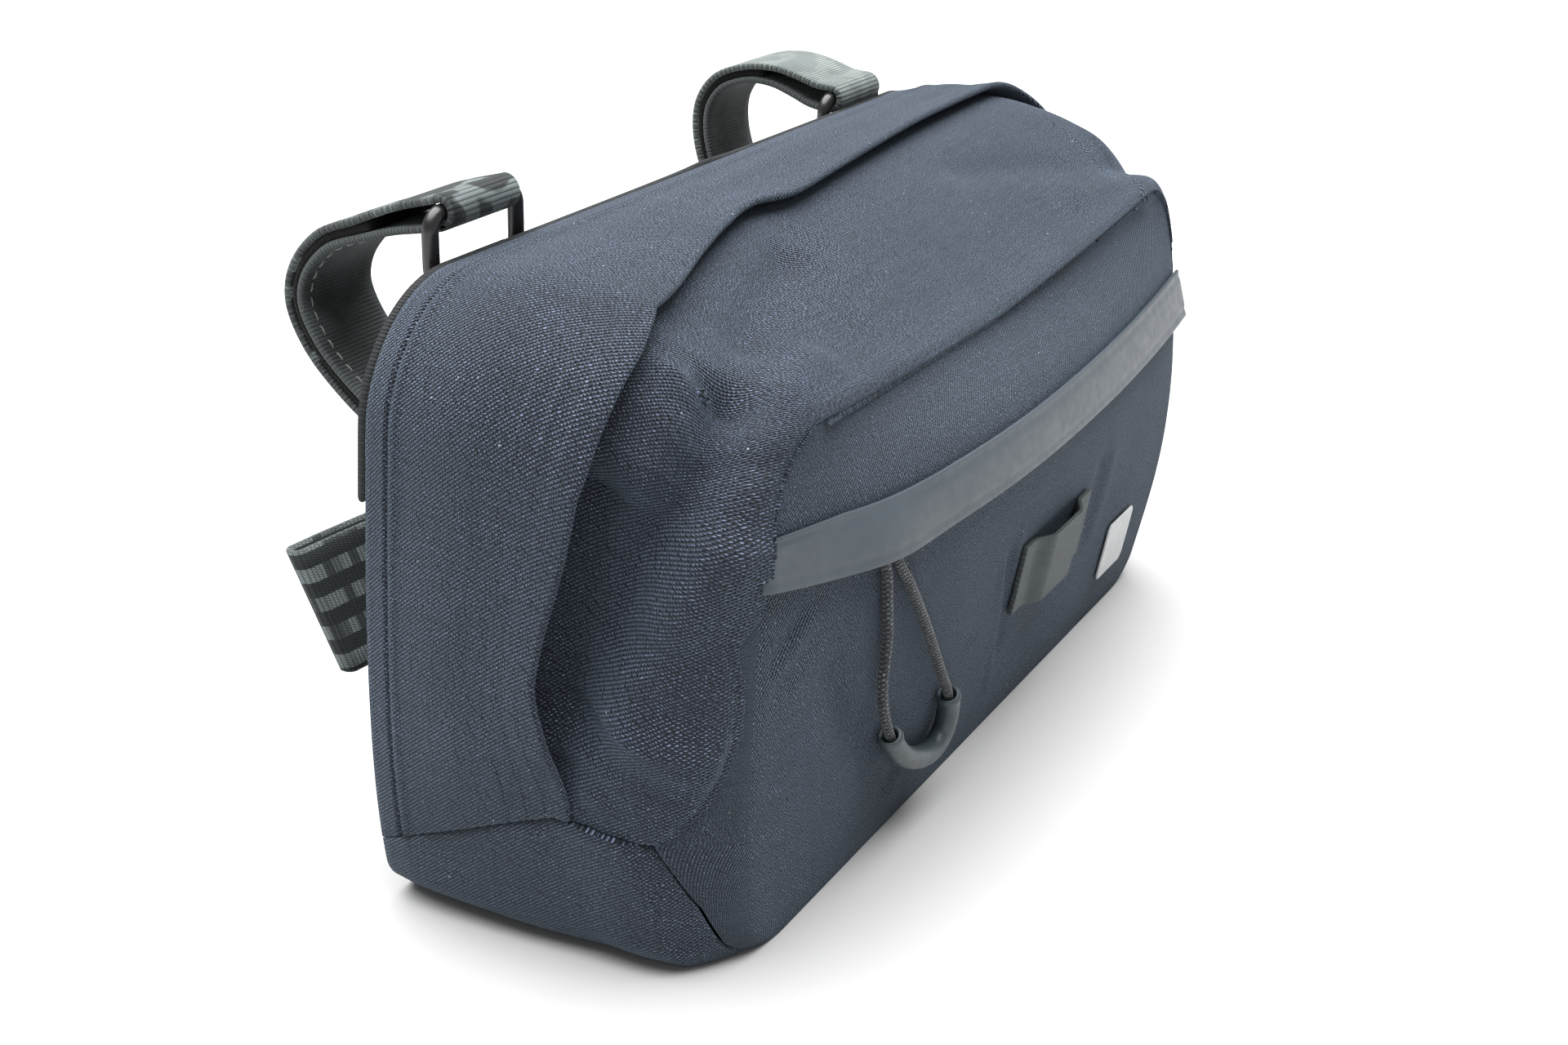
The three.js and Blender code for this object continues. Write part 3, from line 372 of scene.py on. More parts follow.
# Outer layers of the handlebar straps, from the root to the ring, as shares
STRAP_ROUTES = {
    "left": columns("back up", [
        (0.0, 0.0),
        (0.2, 0.04),
        (0.44, 0.12),
        (0.7, 0.24),
        (0.91, 0.39),
        (1.0, 0.54),
        (0.96, 0.67),
        (0.8, 0.8),
        (0.58, 0.87),
        (0.36, 0.94),
    ]),
    "right": columns("back up", [
        (0.0, 0.0),
        (0.25, 0.03),
        (0.5, 0.11),
        (0.73, 0.26),
        (0.91, 0.45),
        (1.0, 0.66),
        (0.99, 0.84),
        (0.88, 0.97),
        (0.68, 1.04),
        (0.48, 1.055),
        (0.31, 1.03),
        (0.2, 1.005),
    ]),
}
# Thread run of a stitch: place along it, height and width in radii
THREAD_SHAPE = [(0, -0.6, 0.5), (0.18, 0.7, 1), (0.5, 1, 1), (0.82, 0.7, 1), (1, -0.6, 0.5)]

# Lower strap from its root to its fold, as shares
LOWER_ROUTE = columns("along back sink", [
    (0.0, 0.0, 0.0),
    (0.3, 0.1, 0.02),
    (0.55, 0.36, 0.2),
    (0.8, 0.74, 0.62),
    (0.92, 0.91, 0.86),
    (1.0, 1.0, 1.0),
])


# Table reading and small helpers
def straight(table, key, column, at):
    return np.interp(at, table[key], table[column])


def smooth(table, key, column, at):
    """Smooth reading of a table, with the same curve as the solids."""
    keys, values = table[key], table[column]
    at = np.clip(at, keys[0], keys[-1])
    row = np.clip(np.searchsorted(keys, at) - 1, 0, len(keys) - 2)
    before = np.maximum(row - 1, 0)
    after = np.minimum(row + 2, len(keys) - 1)
    span = keys[row + 1] - keys[row]
    slope_a = (values[row + 1] - values[before]) / (keys[row + 1] - keys[before]) * span
    slope_b = (values[after] - values[row]) / (keys[after] - keys[row]) * span
    s = (at - keys[row]) / span
    rise = 3 * s**2 - 2 * s**3
    bend = slope_a * (s**3 - 2 * s**2 + s) + slope_b * (s**3 - s**2)
    return values[row] * (1 - rise) + values[row + 1] * rise + bend


def ease(value):
    value = np.clip(value, 0, 1)
    return value * value * (3 - 2 * value)


def bell(value, centre, width):
    return np.exp(-(((value - centre) / width) ** 2))


def unit(vectors):
    return vectors / np.maximum(np.linalg.norm(vectors, axis=-1, keepdims=True), 1e-9)


def stack(x, y, z):
    return np.stack(np.broadcast_arrays(x, y, z), -1).astype(float)


def run_length(grid, axis):
    """Length along one axis of a grid of points, or along a path."""
    steps = np.linalg.norm(np.diff(grid, axis=axis), axis=-1)
    pad = np.zeros_like(np.take(steps, [0], axis=axis))
    return np.concatenate([pad, np.cumsum(steps, axis=axis)], axis=axis)


def read_points(at, lengths, points):
    return np.stack([np.interp(at, lengths, points[:, k]) for k in range(3)], -1)


def folded(along):
    """Ring place on the left half that mirrors a place on the right half."""
    return np.where(along > TURNS / 2, TURNS - along, along)


# Body surface
def ring(along, depth):
    """Point of a body section: nine stretches from the middle of the base by the left end."""
    along, depth = np.broadcast_arrays(np.asarray(along, float), np.asarray(depth, float))
    mirrored = along > TURNS / 2
    place = folded(along)
    inset = np.where(mirrored, RIGHT_INSET, END_INSET)
    half = HALF_LENGTH - inset * smooth(SECTIONS, "depth", "inset", depth)
    top = BODY_HEIGHT - TOP_DROP * smooth(SECTIONS, "depth", "drop", depth)
    share = smooth(SECTIONS, "depth", "corner", depth)
    sag = TOP_SAG * smooth(SECTIONS, "depth", "sag", depth)
    foot, crown = BOTTOM_CORNER * share, TOP_CORNER * share
    power = np.where(mirrored, 1 + (RIGHT_SQUARENESS - 1) * depth, 1.0)
    turn = np.clip(place - np.floor(place), 0, 1) * np.pi / 2
    sine, cosine = np.clip(np.sin(turn), 0, 1), np.clip(np.cos(turn), 0, 1)
    where = [place < 1, place < 2, place < 3, place < 4]
    x = np.select(
        where,
        [(half - foot) * place, half - foot + foot * sine, half, half - crown + crown * cosine**power],
        (half - crown) * (1 - (place - 4) * 2),
    )
    z = np.select(
        where,
        [0 * place, foot - foot * cosine, foot + (top - crown - foot) * (place - 2),
         top - crown + crown * sine**power],
        top,
    )
    up = np.clip(z / top, 0, 1)
    flat = np.clip(1 - (x / half) ** 2, 0, 1)
    swell = np.where(mirrored, RIGHT_SWELL, 0) * depth**3 * (1 - flat)
    y = BACK_Y - depth * BODY_DEPTH - swell * np.sin(np.pi * up)
    lift = np.where(mirrored, RIGHT_LIFT, 0) * depth**2 * (x / half) * up**8
    z = z + lift - sag * flat * up**6
    x = x + END_BULGE * np.sin(np.pi * up**BULGE_LEAN) * (x / half) ** 8
    return stack(np.where(mirrored, x, -x), y, z)


def normals(surface, a, b, step=0.004):
    """Outward normals of a surface given as a function of two values."""
    across = surface(a + step, b) - surface(a - step, b)
    along = surface(a, b + step) - surface(a, b - step)
    normal = unit(np.cross(across, along))
    outward = surface(a, b) - np.array([0, 0, BODY_HEIGHT / 2])
    return normal * np.where(np.sum(normal * outward, -1, keepdims=True) < 0, -1, 1)


def side(along, depth, lift=0.0):
    """Point of the body's ends, top and base, lifted along the normal."""
    along, depth, lift = np.broadcast_arrays(along, depth, lift)

    def held(a, d):
        return ring(a, np.clip(d, 0, 1))

    return ring(along, depth) + normals(held, along, depth) * np.asarray(lift)[..., None]


def front(across, along, inset=0.0):
    """Point of the front: share across from left to right, height as a ring place."""
    across, along = np.broadcast_arrays(np.asarray(across, float), np.asarray(along, float))
    left, right = ring(along, 1.0), ring(TURNS - along, 1.0)
    edge = np.where((across < 0)[..., None], left, right)
    x = across * (np.abs(edge[..., 0]) - inset)
    beside = (x / edge[..., 0]) ** 2
    level = left[..., 2] + (right[..., 2] - left[..., 2]) * np.clip(across, 0, 1)
    up = np.clip(level / FRONT_TOP, 0, 1)
    tuck = inset * up**8
    out = FRONT_BULGE * smooth(BELLY, "up", "out", up)
    half = HALF_LENGTH - np.where(edge[..., 0] < 0, END_INSET, RIGHT_INSET)
    edge_sag = TOP_SAG * (1 - np.clip((edge[..., 0] / half) ** 2, 0, 1))
    sag = (TOP_SAG - edge_sag) * (1 - beside) * up**6
    y = FRONT_Y + (edge[..., 1] - FRONT_Y) * beside + tuck / 3 - out * (1 - beside)
    return stack(x, y, level - sag - tuck)


def place_at(height):
    """Ring place at a height on the front's left edge."""
    low, high = ring(2.0, 1.0)[2], ring(2.9999, 1.0)[2]
    return 2 + (np.asarray(height, float) - low) / (high - low)


def front_at(x, z, lift=0.0):
    """Point of the front under given x and z, lifted along the normal."""
    x, z, lift = np.broadcast_arrays(np.asarray(x, float), np.asarray(z, float), lift)

    def face(px, pz):
        along = place_at(pz)
        edge = ring(np.where(px < 0, along, TURNS - along), 1.0)[..., 0]
        return front(px / np.abs(edge), along)

    return face(x, z) + normals(face, x, z) * np.asarray(lift)[..., None]


def seam_depth(along):
    """Depth of the front seam at a ring place."""
    place = folded(along)
    depth = straight(FRONT_SEAM, "along", "depth", place)
    return np.where(place < GUSSET_FOOT, np.minimum(depth, SEAM_LIMIT), depth)


def spline(points, per_span):
    """Centripetal curve through points, the same as the cord's solid follows."""
    points = np.array(points, float)
    held = np.vstack([2 * points[0] - points[1], points, 2 * points[-1] - points[-2]])
    share = np.linspace(0, 1, per_span, endpoint=False)[:, None]
    out = []
    for p0, p1, p2, p3 in zip(held, held[1:], held[2:], held[3:]):
        spans = ((p0, p1), (p1, p2), (p2, p3))
        d0, d1, d2 = (max(np.sum((b - a) ** 2) ** 0.25, 1e-6) for a, b in spans)
        t1 = ((p1 - p0) / d0 - (p2 - p0) / (d0 + d1) + (p2 - p1) / d1) * d1
        t2 = ((p2 - p1) / d1 - (p3 - p1) / (d1 + d2) + (p3 - p2) / d2) * d1
        curve = p1 + t1 * share + (3 * (p2 - p1) - 2 * t1 - t2) * share**2
        out.append(curve + (2 * (p1 - p2) + t1 + t2) * share**3)
    return np.vstack(out + [points[-1:]])


def even(points, count):
    """Evenly spaced points along a polyline."""
    lengths = run_length(points, 0)
    return read_points(np.linspace(0, lengths[-1], count), lengths, points)


def ripple(a, b, seed):
    """Soft unevenness between about -1 and 1, the same on each run."""
    rng = np.random.default_rng(seed)
    count, total = 7, 0
    for _ in range(count):
        fa, fb = rng.normal(size=2)
        total = total + np.sin(fa * a + fb * b + rng.uniform(0, 2 * np.pi))
    return total / count**0.5 / 1.4


# Meshes
def add_mesh(name, points, faces, material, uvs=None, scale=MM):
    mesh = bpy.data.meshes.new(name)
    mesh.from_pydata((np.asarray(points) * scale).tolist(), [], faces)
    if uvs is not None:
        layer = mesh.uv_layers.new(name="cloth")
        index = np.empty(len(mesh.loops), int)
        mesh.loops.foreach_get("vertex_index", index)
        layer.data.foreach_set("uv", np.asarray(uvs)[index].ravel())
    mesh.materials.append(material)
    mesh.shade_smooth()
    mesh.validate()
    made = bpy.data.objects.new(name, mesh)
    bpy.context.scene.collection.objects.link(made)
    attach(made, "root")
    return made


def grid_faces(rows, count, start=0, turned=False, closed=False, looped=False):
    """Faces between points in rows: closed joins each row's ends, looped the last row to the first."""
    faces = []
    for r in range(rows if looped else rows - 1):
        low, high = start + r * count, start + (r + 1) % rows * count
        for c in range(count if closed else count - 1):
            d = (c + 1) % count
            quad = [low + c, low + d, high + d, high + c]
            faces.append(quad[::-1] if turned else quad)
    return faces


def turn_outward(made):
    """Turns a closed mesh the right way out and hands it back."""
    mesh = made.data
    volume = 0.0
    for face in mesh.polygons:
        a, *rest = [mesh.vertices[k].co for k in face.vertices]
        for b, c in zip(rest, rest[1:]):
            volume += a.dot(b.cross(c))
    if volume < 0:
        mesh.flip_normals()
    return made


def cloth(name, outer, inner, uvs, material, round_edges=(True, True)):
    """Closed cloth piece between two grids; its first and last rows may end in a round."""
    thick = np.linalg.norm(outer[0] - inner[0], axis=-1, keepdims=True) / 2 * MM
    rims, arcs = [], []
    for edge, beside, rounded in ((0, 1, round_edges[0]), (-1, -2, round_edges[1])):
        middle = (outer[edge] + inner[edge]) / 2
        half = (outer[edge] - inner[edge]) / 2
        away = unit(outer[edge] - outer[beside]) * np.linalg.norm(half, axis=-1, keepdims=True)
        slope = unit(uvs[edge] - uvs[beside]) * thick
        turns = np.radians([30, 60, 90, 120, 150] if rounded else [])
        rims.append([middle + half * math.cos(t) + away * math.sin(t) for t in turns])
        arcs.append([uvs[edge] + slope * t for t in turns])
    loops = [*rims[0][::-1], *outer, *rims[1], *inner[::-1]]
    uv_loops = [*arcs[0][::-1], *uvs, *arcs[1], *uvs[::-1]]
    rows, count, layers, before = len(loops), len(outer[0]), len(outer), len(rims[0])
    faces = grid_faces(rows, count, looped=True)
    for c in (0, count - 1):
        column = [k * count + c for k in range(rows)]
        near, far = column[before:before + layers], column[::-1][:layers]
        ends = [list(quad) for quad in zip(near, near[1:], far[1:], far)]
        ends.append([far[0], *column[:before + 1]])
        ends.append([*column[before + layers - 1:rows - layers], far[-1]])
        faces += [face if c == 0 else face[::-1] for face in ends if len(face) > 2]
    points, uv_points = np.array(loops).reshape(-1, 3), np.array(uv_loops).reshape(-1, 2)
    return turn_outward(add_mesh(name, points, faces, material, uv_points))


def sheet(name, grid, wall, material, round_edges=(True, True)):
    """Closed cloth piece from its outer grid and a wall."""
    return cloth(name, grid, moved(grid, wall), cloth_uv(grid), material, round_edges)


def moved(grid, wall):
    """Grid shifted one wall inwards, away from the outer side."""
    across = np.gradient(grid, axis=1)
    along = np.gradient(grid, axis=0)
    normal = unit(np.cross(across, along))
    outward = grid - np.array([0, 0, BODY_HEIGHT / 2])
    facing = np.where(np.sum(normal * outward, -1, keepdims=True) < 0, 1, -1)
    return grid + normal * facing * wall


def frames_along(path):
    """Two side directions carried along a path without twist."""
    tangents = unit(np.gradient(path, axis=0))
    side_now = unit(np.cross(tangents[0], [0.3, 1, 0.1]))
    sides = []
    for tangent in tangents:
        side_now = unit(side_now - tangent * np.dot(side_now, tangent))
        sides.append(side_now)
    return np.array(sides), np.cross(tangents, sides)


def circles(path, first, second, radii, sides):
    """Round sections along a path, in the plane of two directions at each point."""
    turns = np.linspace(0, 2 * np.pi, sides, endpoint=False)[:, None]
    away = np.cos(turns) * first[:, None] + np.sin(turns) * second[:, None]
    return path[:, None] + np.asarray(radii)[..., None, None] * away


def tube(name, path, radius, sides, material, scale=MM):
    """Tube along a path, closed by flat ends."""
    points = circles(path, *frames_along(path), radius, sides)
    faces = grid_faces(len(path), sides, turned=True, closed=True)
    faces.append(list(range(sides)))
    faces.append([(len(path) - 1) * sides + k for k in range(sides)][::-1])
    v = np.abs(np.linspace(-1, 1, sides, endpoint=False))
    lengths = run_length(path, 0)[:, None] * scale
    uvs = np.stack(np.broadcast_arrays(v[None, :], lengths), -1).reshape(-1, 2)
    return turn_outward(add_mesh(name, points.reshape(-1, 3), faces, material, uvs, scale))


def sleeve(name, path, outside, inside, sides, material):
    """Bored tube along a path, with outer and inner radii at each point."""
    first, second = frames_along(path)
    outer, inner = (circles(path, first, second, radii, sides) for radii in (outside, inside))
    loops = np.concatenate([outer, inner[::-1]])
    faces = grid_faces(len(loops), sides, closed=True, looped=True)
    return turn_outward(add_mesh(name, loops.reshape(-1, 3), faces, material))


def sideways(share):
    return (1, 0, 0)


def ribbon(name, route, side_at, width, wall, material):
    """Webbing along a route, its section a little rounded at both edges."""
    tangents = unit(np.gradient(route, axis=0))
    sides = unit(np.array([side_at(k / (len(route) - 1)) for k in range(len(route))], float))
    normal = unit(np.cross(tangents, sides))
    across = np.linspace(-1, 1, 9) * (1 - 0.45 * wall / width)
    upper = [(a, 0.5) for a in across]
    lower = [(a, -0.5) for a in across[::-1]]
    section = np.array([(-1, 0.2), *upper, (1, 0.2), (1, -0.2), *lower, (-1, -0.2)])
    wide, thick = section[:, :1] * width / 2, section[:, 1:] * wall
    points = route[:, None] + sides[:, None] * wide + normal[:, None] * thick
    lengths = run_length(route, 0)[:, None]
    uvs = np.stack(np.broadcast_arrays(wide[:, 0], lengths), -1).reshape(-1, 2) * MM
    count = len(section)
    faces = grid_faces(len(route), count, closed=True)
    faces.append(list(range(count))[::-1])
    faces.append([(len(route) - 1) * count + k for k in range(count)])
    return turn_outward(add_mesh(name, points.reshape(-1, 3), faces, material, uvs))


def stitches(name, path, up, material):
    """Row of short thread runs along a path, on a surface with the normals up."""
    points, faces = [], []
    lengths = run_length(path, 0)
    turns = np.radians(np.arange(30, 360, 60))
    start = THREAD_GAP / 2
    while start + THREAD_RUN < lengths[-1]:
        a, b = (read_points(at, lengths, path) for at in (start, start + THREAD_RUN))
        normal = unit(read_points(start + THREAD_RUN / 2, lengths, up))
        beside = unit(np.cross(b - a, normal))
        base = len(points)
        for share, high, wide in THREAD_SHAPE:
            middle = a + (b - a) * share + normal * (THREAD_LIFT + THREAD_RADIUS * high)
            for turn in turns:
                away = beside * math.cos(turn) + normal * math.sin(turn)
                points.append(middle + away * THREAD_RADIUS * wide)
        faces += grid_faces(len(THREAD_SHAPE), len(turns), base, closed=True)
        faces.append(list(range(base, base + len(turns)))[::-1])
        faces.append(list(range(len(points) - len(turns), len(points))))
        start += THREAD_RUN + THREAD_GAP
    return add_mesh(name, points, faces, material)


# Finishes
class Finish:
    """Node material with one short call for each node."""

    def __init__(self, name, colour, roughness, specular=0.3, sheen=0.0, sheen_tint=(1, 1, 1)):
        self.made = bpy.data.materials.new(name)
        self.made.use_nodes = True
        self.tree = self.made.node_tree
        self.shader = self.tree.nodes["Principled BSDF"]
        self.set("Base Color", (*colour, 1.0))
        self.set("Roughness", roughness)
        self.set("Specular IOR Level", specular)
        self.set("Sheen Weight", sheen)
        self.set("Sheen Tint", (*sheen_tint, 1.0))
        self.set("Sheen Roughness", 0.5)

    def set(self, socket, value):
        if isinstance(value, bpy.types.NodeSocket):
            self.tree.links.new(value, self.shader.inputs[socket])
        else:
            self.shader.inputs[socket].default_value = value

    def node(self, kind, inputs, **settings):
        made = self.tree.nodes.new(kind)
        for key, value in settings.items():
            setattr(made, key, value)
        for key, value in inputs.items():
            if isinstance(value, bpy.types.NodeSocket):
                self.tree.links.new(value, made.inputs[key])
            else:
                made.inputs[key].default_value = value
        return made

    def math(self, operation, *values):
        return self.node("ShaderNodeMath", dict(enumerate(values)), operation=operation).outputs[0]

    def times(self, value, *others):
        for other in others:
            value = self.math("MULTIPLY", value, other)
        return value

    def threads(self, value):
        """Round threads side by side, one for each whole number."""
        return self.math("ABSOLUTE", self.math("SINE", self.times(value, math.pi)))

    def point(self, x, y):
        return self.node("ShaderNodeCombineXYZ", {0: x, 1: y, 2: 0.0}).outputs[0]

    def done(self, colour, relief, distance=0.0003, strength=0.8):
        """Sets the colour and the relief, and gives the material."""
        self.set("Base Color", colour)
        self.set("Normal", self.bump(relief, distance, strength))
        return self.made

    def uv(self):
        """Metres along and across the cloth."""
        place = self.node("ShaderNodeUVMap", {}, uv_map="cloth").outputs[0]
        split = self.node("ShaderNodeSeparateXYZ", {0: place}).outputs
        return place, split[0], split[1]

    def noise(self, scale, detail=2.0, where=None):
        where = where or self.node("ShaderNodeTexCoord", {}).outputs["Object"]
        made = self.node("ShaderNodeTexNoise", {"Vector": where, "Scale": scale, "Detail": detail})
        return made.outputs["Fac"]

    def spread(self, value, low, high, to_low=0.0, to_high=1.0):
        """Value stretched from one range to another and held there."""
        ranges = {0: value, 1: low, 2: high, 3: to_low, 4: to_high}
        return self.node("ShaderNodeMapRange", ranges).outputs[0]

    def cloud(self, scale, detail, low=0.0, high=1.0, where=None):
        """Soft noise that fills the range between two values."""
        return self.spread(self.noise(scale, detail, where), 0.3, 0.7, low, high)

    def mix(self, share, first, second):
        inputs = {0: share}
        for key, colour in ((6, first), (7, second)):
            inputs[key] = colour if isinstance(colour, bpy.types.NodeSocket) else (*colour, 1.0)
        return self.node("ShaderNodeMix", inputs, data_type="RGBA").outputs[2]

    def bump(self, height, distance, strength=1.0, below=None):
        inputs = {"Height": height, "Distance": distance, "Strength": strength}
        if below:
            inputs["Normal"] = below
        return self.node("ShaderNodeBump", inputs).outputs[0]


def plain_weave(finish, across_pitch, along_pitch):
    """Heights of both thread systems of a plain weave, from 0 to 1."""
    place, u, v = finish.uv()
    fine = finish.cloud(700, 1.0, -0.42, 0.42, place)
    wander = finish.math("ADD", fine, finish.cloud(150, 2.0, -0.5, 0.5, place))
    across = finish.math("ADD", finish.math("DIVIDE", u, across_pitch), wander)
    along = finish.math("ADD", finish.math("DIVIDE", v, along_pitch), wander)
    heights = []
    for own, other, offset in ((across, along, 0.0), (along, across, 1.0)):
        turn = finish.math("ADD", other, finish.math("ADD", finish.math("FLOOR", own), offset))
        over = finish.math("COSINE", finish.times(turn, math.pi))
        over = finish.math("MULTIPLY_ADD", over, 0.5, 0.5)
        heights.append(finish.times(finish.threads(own), over))
    return heights


def fabric_finish():
    """Dark blue plain weave with uneven threads and a little lint; its thread crowns are painted pale as
    a highlight.
    """
    # dark is the cloth's own colour, light the painted highlight on the thread crowns, lint the loose
    # fluff
    dark, light, lint = (0.0045, 0.0056, 0.0105), (0.152, 0.186, 0.288), (0.42, 0.45, 0.48)
    finish = Finish("bag_fabric", dark, 0.75, 0.25, 0.22, (0.62, 0.82, 1.0))
    warp, weft = plain_weave(finish, WARP_PITCH, WEFT_PITCH)
    place, u, v = finish.uv()
    top = finish.math("MAXIMUM", warp, finish.times(weft, 0.86))
    # The pale colour on the crowns of the floats is a painted highlight.
    crown_highlight = finish.spread(finish.math("MAXIMUM", warp, finish.times(weft, 0.5)), 0.48, 0.98)
    share = finish.times(crown_highlight, finish.cloud(45, 4.0, 0.72, 1.2))
    share = finish.times(share, finish.cloud(1500, 2.0, 0.1, 1.66, place))
    for wide, long in ((u, v), (v, u)):
        run = finish.point(finish.times(wide, 1300.0), finish.times(long, 38.0))
        share = finish.times(share, finish.cloud(1.0, 2.0, 0.66, 1.3, run))
    fluff = finish.spread(finish.noise(1100, 1.0), 0.785, 0.815)
    return finish.done(finish.mix(fluff, finish.mix(share, dark, light), lint), top, 0.0004, 0.9)


def cover_finish():
    """Matt rubbery strip over the zip."""
    finish = Finish("cover_rubber", (0.042, 0.056, 0.065), 0.5, 0.35, 0.15)
    colour = finish.mix(finish.cloud(60, 3.0), (0.036, 0.049, 0.062), (0.043, 0.058, 0.072))
    finish.set("Base Color", colour)
    finish.set("Roughness", finish.cloud(300, 3.0, 0.42, 0.58))
    fine = finish.bump(finish.noise(2200, 3.0), 0.00008, 0.5)
    finish.set("Normal", finish.bump(finish.noise(90, 2.0), 0.0004, 0.35, fine))
    return finish.made


def ribs_of(finish, pitch):
    """Ribs across webbing, from 0 to 1, broken by the cross threads."""
    _, u, v = finish.uv()
    along, across = finish.math("DIVIDE", v, pitch), finish.math("DIVIDE", u, pitch * 0.62)
    shifted = finish.math("MULTIPLY_ADD", finish.math("FLOOR", along), 0.5, across)
    broken = finish.math("MULTIPLY_ADD", finish.threads(shifted), 0.45, 0.55)
    return finish.times(finish.math("POWER", finish.threads(along), 0.6), broken)


def webbing_finish(name, dark, light, pitch=0.0009, sheen=0.25):
    """Plain ribbed webbing, unevenly worn, with painted shade in the grooves between the ribs."""
    finish = Finish(name, light, 0.75, 0.3, sheen, WEBBING_SHEEN)
    ribs = ribs_of(finish, pitch)
    worn = finish.cloud(220, 3.0, 0.65, 1.1)
    # The grooves between the ribs take the dark colour: painted shade.
    return finish.done(finish.mix(finish.times(ribs, worn), dark, light), ribs)


def selvedge(finish, colour, pale, width):
    """Colour with paler, coarser threads along both edges of webbing."""
    _, u, v = finish.uv()
    edge = width * MM / 2
    beside = finish.spread(finish.math("ABSOLUTE", u), edge - 0.0006, edge - 0.0002)
    thread = finish.threads(finish.math("DIVIDE", v, SELVEDGE_PITCH))
    share = finish.times(beside, finish.spread(thread, 0.2, 0.9, 0.25, 1.0))
    return finish.mix(share, colour, pale)


def camo_finish(name, dark, pale, cover, smooth_from):
    """Ribbed webbing with woven patches; past a length its visible face is dark and smooth."""
    finish = Finish(name, dark, 0.72, 0.3, 0.15, WEBBING_SHEEN)
    ribs = ribs_of(finish, CAMO_PITCH)
    place, u, v = finish.uv()
    wide = finish.point(u, finish.times(v, 1.6))
    patch = finish.spread(finish.noise(95, 1.5, wide), cover, cover + 0.05)
    cloud = finish.cloud(60, 2.0, 0.75, 1.25, place)
    ribbed = finish.math("MULTIPLY_ADD", finish.times(ribs, cloud), 0.8, 0.2)
    colour = finish.mix(ribbed, RIB_SHADE, finish.mix(patch, dark, pale))
    haze = finish.spread(finish.noise(90, 3.0, place), 0.35, 0.7)
    worn = finish.mix(haze, (0.018, 0.021, 0.021), (0.062, 0.072, 0.072))
    colour = finish.mix(finish.spread(v, smooth_from, smooth_from + 0.002), colour, worn)
    return finish.done(selvedge(finish, colour, (0.050, 0.058, 0.058), STRAP_WIDTH), ribs)


def check_finish():
    """Webbing with rows of pale and dark blocks along its length; near the bag the pale blocks are
    dimmed as painted shade.
    """
    finish = Finish("check_webbing", (0.02, 0.02, 0.02), 0.72, 0.3, 0.15, WEBBING_SHEEN)
    ribs = ribs_of(finish, CAMO_PITCH)
    _, u, v = finish.uv()
    wide, long = 0.0037, 0.0023
    row = finish.math("SINE", finish.times(u, math.pi / wide))
    block = finish.math("FLOOR", finish.math("DIVIDE", u, wide))
    spot = finish.point(block, finish.math("FLOOR", finish.math("DIVIDE", v, long)))
    broken = finish.node("ShaderNodeTexWhiteNoise", {"Vector": spot}, noise_dimensions="3D")
    whole = finish.spread(broken.outputs["Value"], 0.15, 0.6, 0.15, 1.0)
    # Within 0.1 m of the root the pale blocks are dimmed to 30 %: painted shade towards the bag.
    pale = finish.times(finish.spread(row, 0.0, 0.1), whole, finish.spread(v, 0.02, 0.1, 0.3, 1.0))
    colour = finish.mix(pale, (0.014, 0.018, 0.019), (0.165, 0.190, 0.194))
    colour = finish.mix(finish.math("MULTIPLY_ADD", ribs, 0.7, 0.3), RIB_SHADE, colour)
    return finish.done(selvedge(finish, colour, (0.070, 0.080, 0.079), LOWER_WIDTH), ribs)


def pile_finish():
    """Black fuzzy pile between the strap's layers."""
    finish = Finish("pile", (0.006, 0.006, 0.007), 0.95, 0.1, 0.12)
    fuzz = finish.noise(3000, 4.0)
    tips = finish.spread(fuzz, 0.55, 0.8)
    colour = finish.mix(tips, (0.004, 0.004, 0.005), (0.035, 0.036, 0.038))
    return finish.done(colour, fuzz, 0.0005, 1.0)


def cord_finish():
    """Dark braid with light flecks."""
    finish = Finish("cord_braid", (0.05, 0.056, 0.060), 0.65, 0.3, 0.2)
    _, u, v = finish.uv()
    along = finish.math("DIVIDE", v, 0.0013)
    lines = [finish.threads(finish.math("MULTIPLY_ADD", u, turn, along)) for turn in (2.0, -2.0)]
    braid = finish.times(*lines)
    spots = finish.spread(finish.noise(1200, 2.0), 0.4, 0.65)
    fleck = finish.times(finish.spread(braid, 0.35, 0.8), spots)
    colour = finish.mix(fleck, (0.010, 0.013, 0.016), (0.160, 0.185, 0.200))
    return finish.done(colour, braid, 0.0003, 0.9)


def plastic_finish(name, colour, roughness, specular=0.45):
    """Slightly uneven plastic or dark metal."""
    finish = Finish(name, colour, roughness, specular)
    darker = tuple(channel * 0.86 for channel in colour)
    finish.set("Roughness", finish.cloud(500, 3.0, roughness - 0.05, roughness + 0.08))
    shade = finish.mix(finish.cloud(140, 3.0), darker, colour)
    return finish.done(shade, finish.noise(1500, 2.0), 0.00003, 0.6)


def thread_finish(name, colour):
    finish = Finish(name, colour, 0.6, 0.35, 0.2)
    darker = tuple(channel * 0.7 for channel in colour)
    shade = finish.mix(finish.noise(900, 2.0), darker, colour)
    return finish.done(shade, finish.noise(4000, 2.0), 0.0001, 0.7)


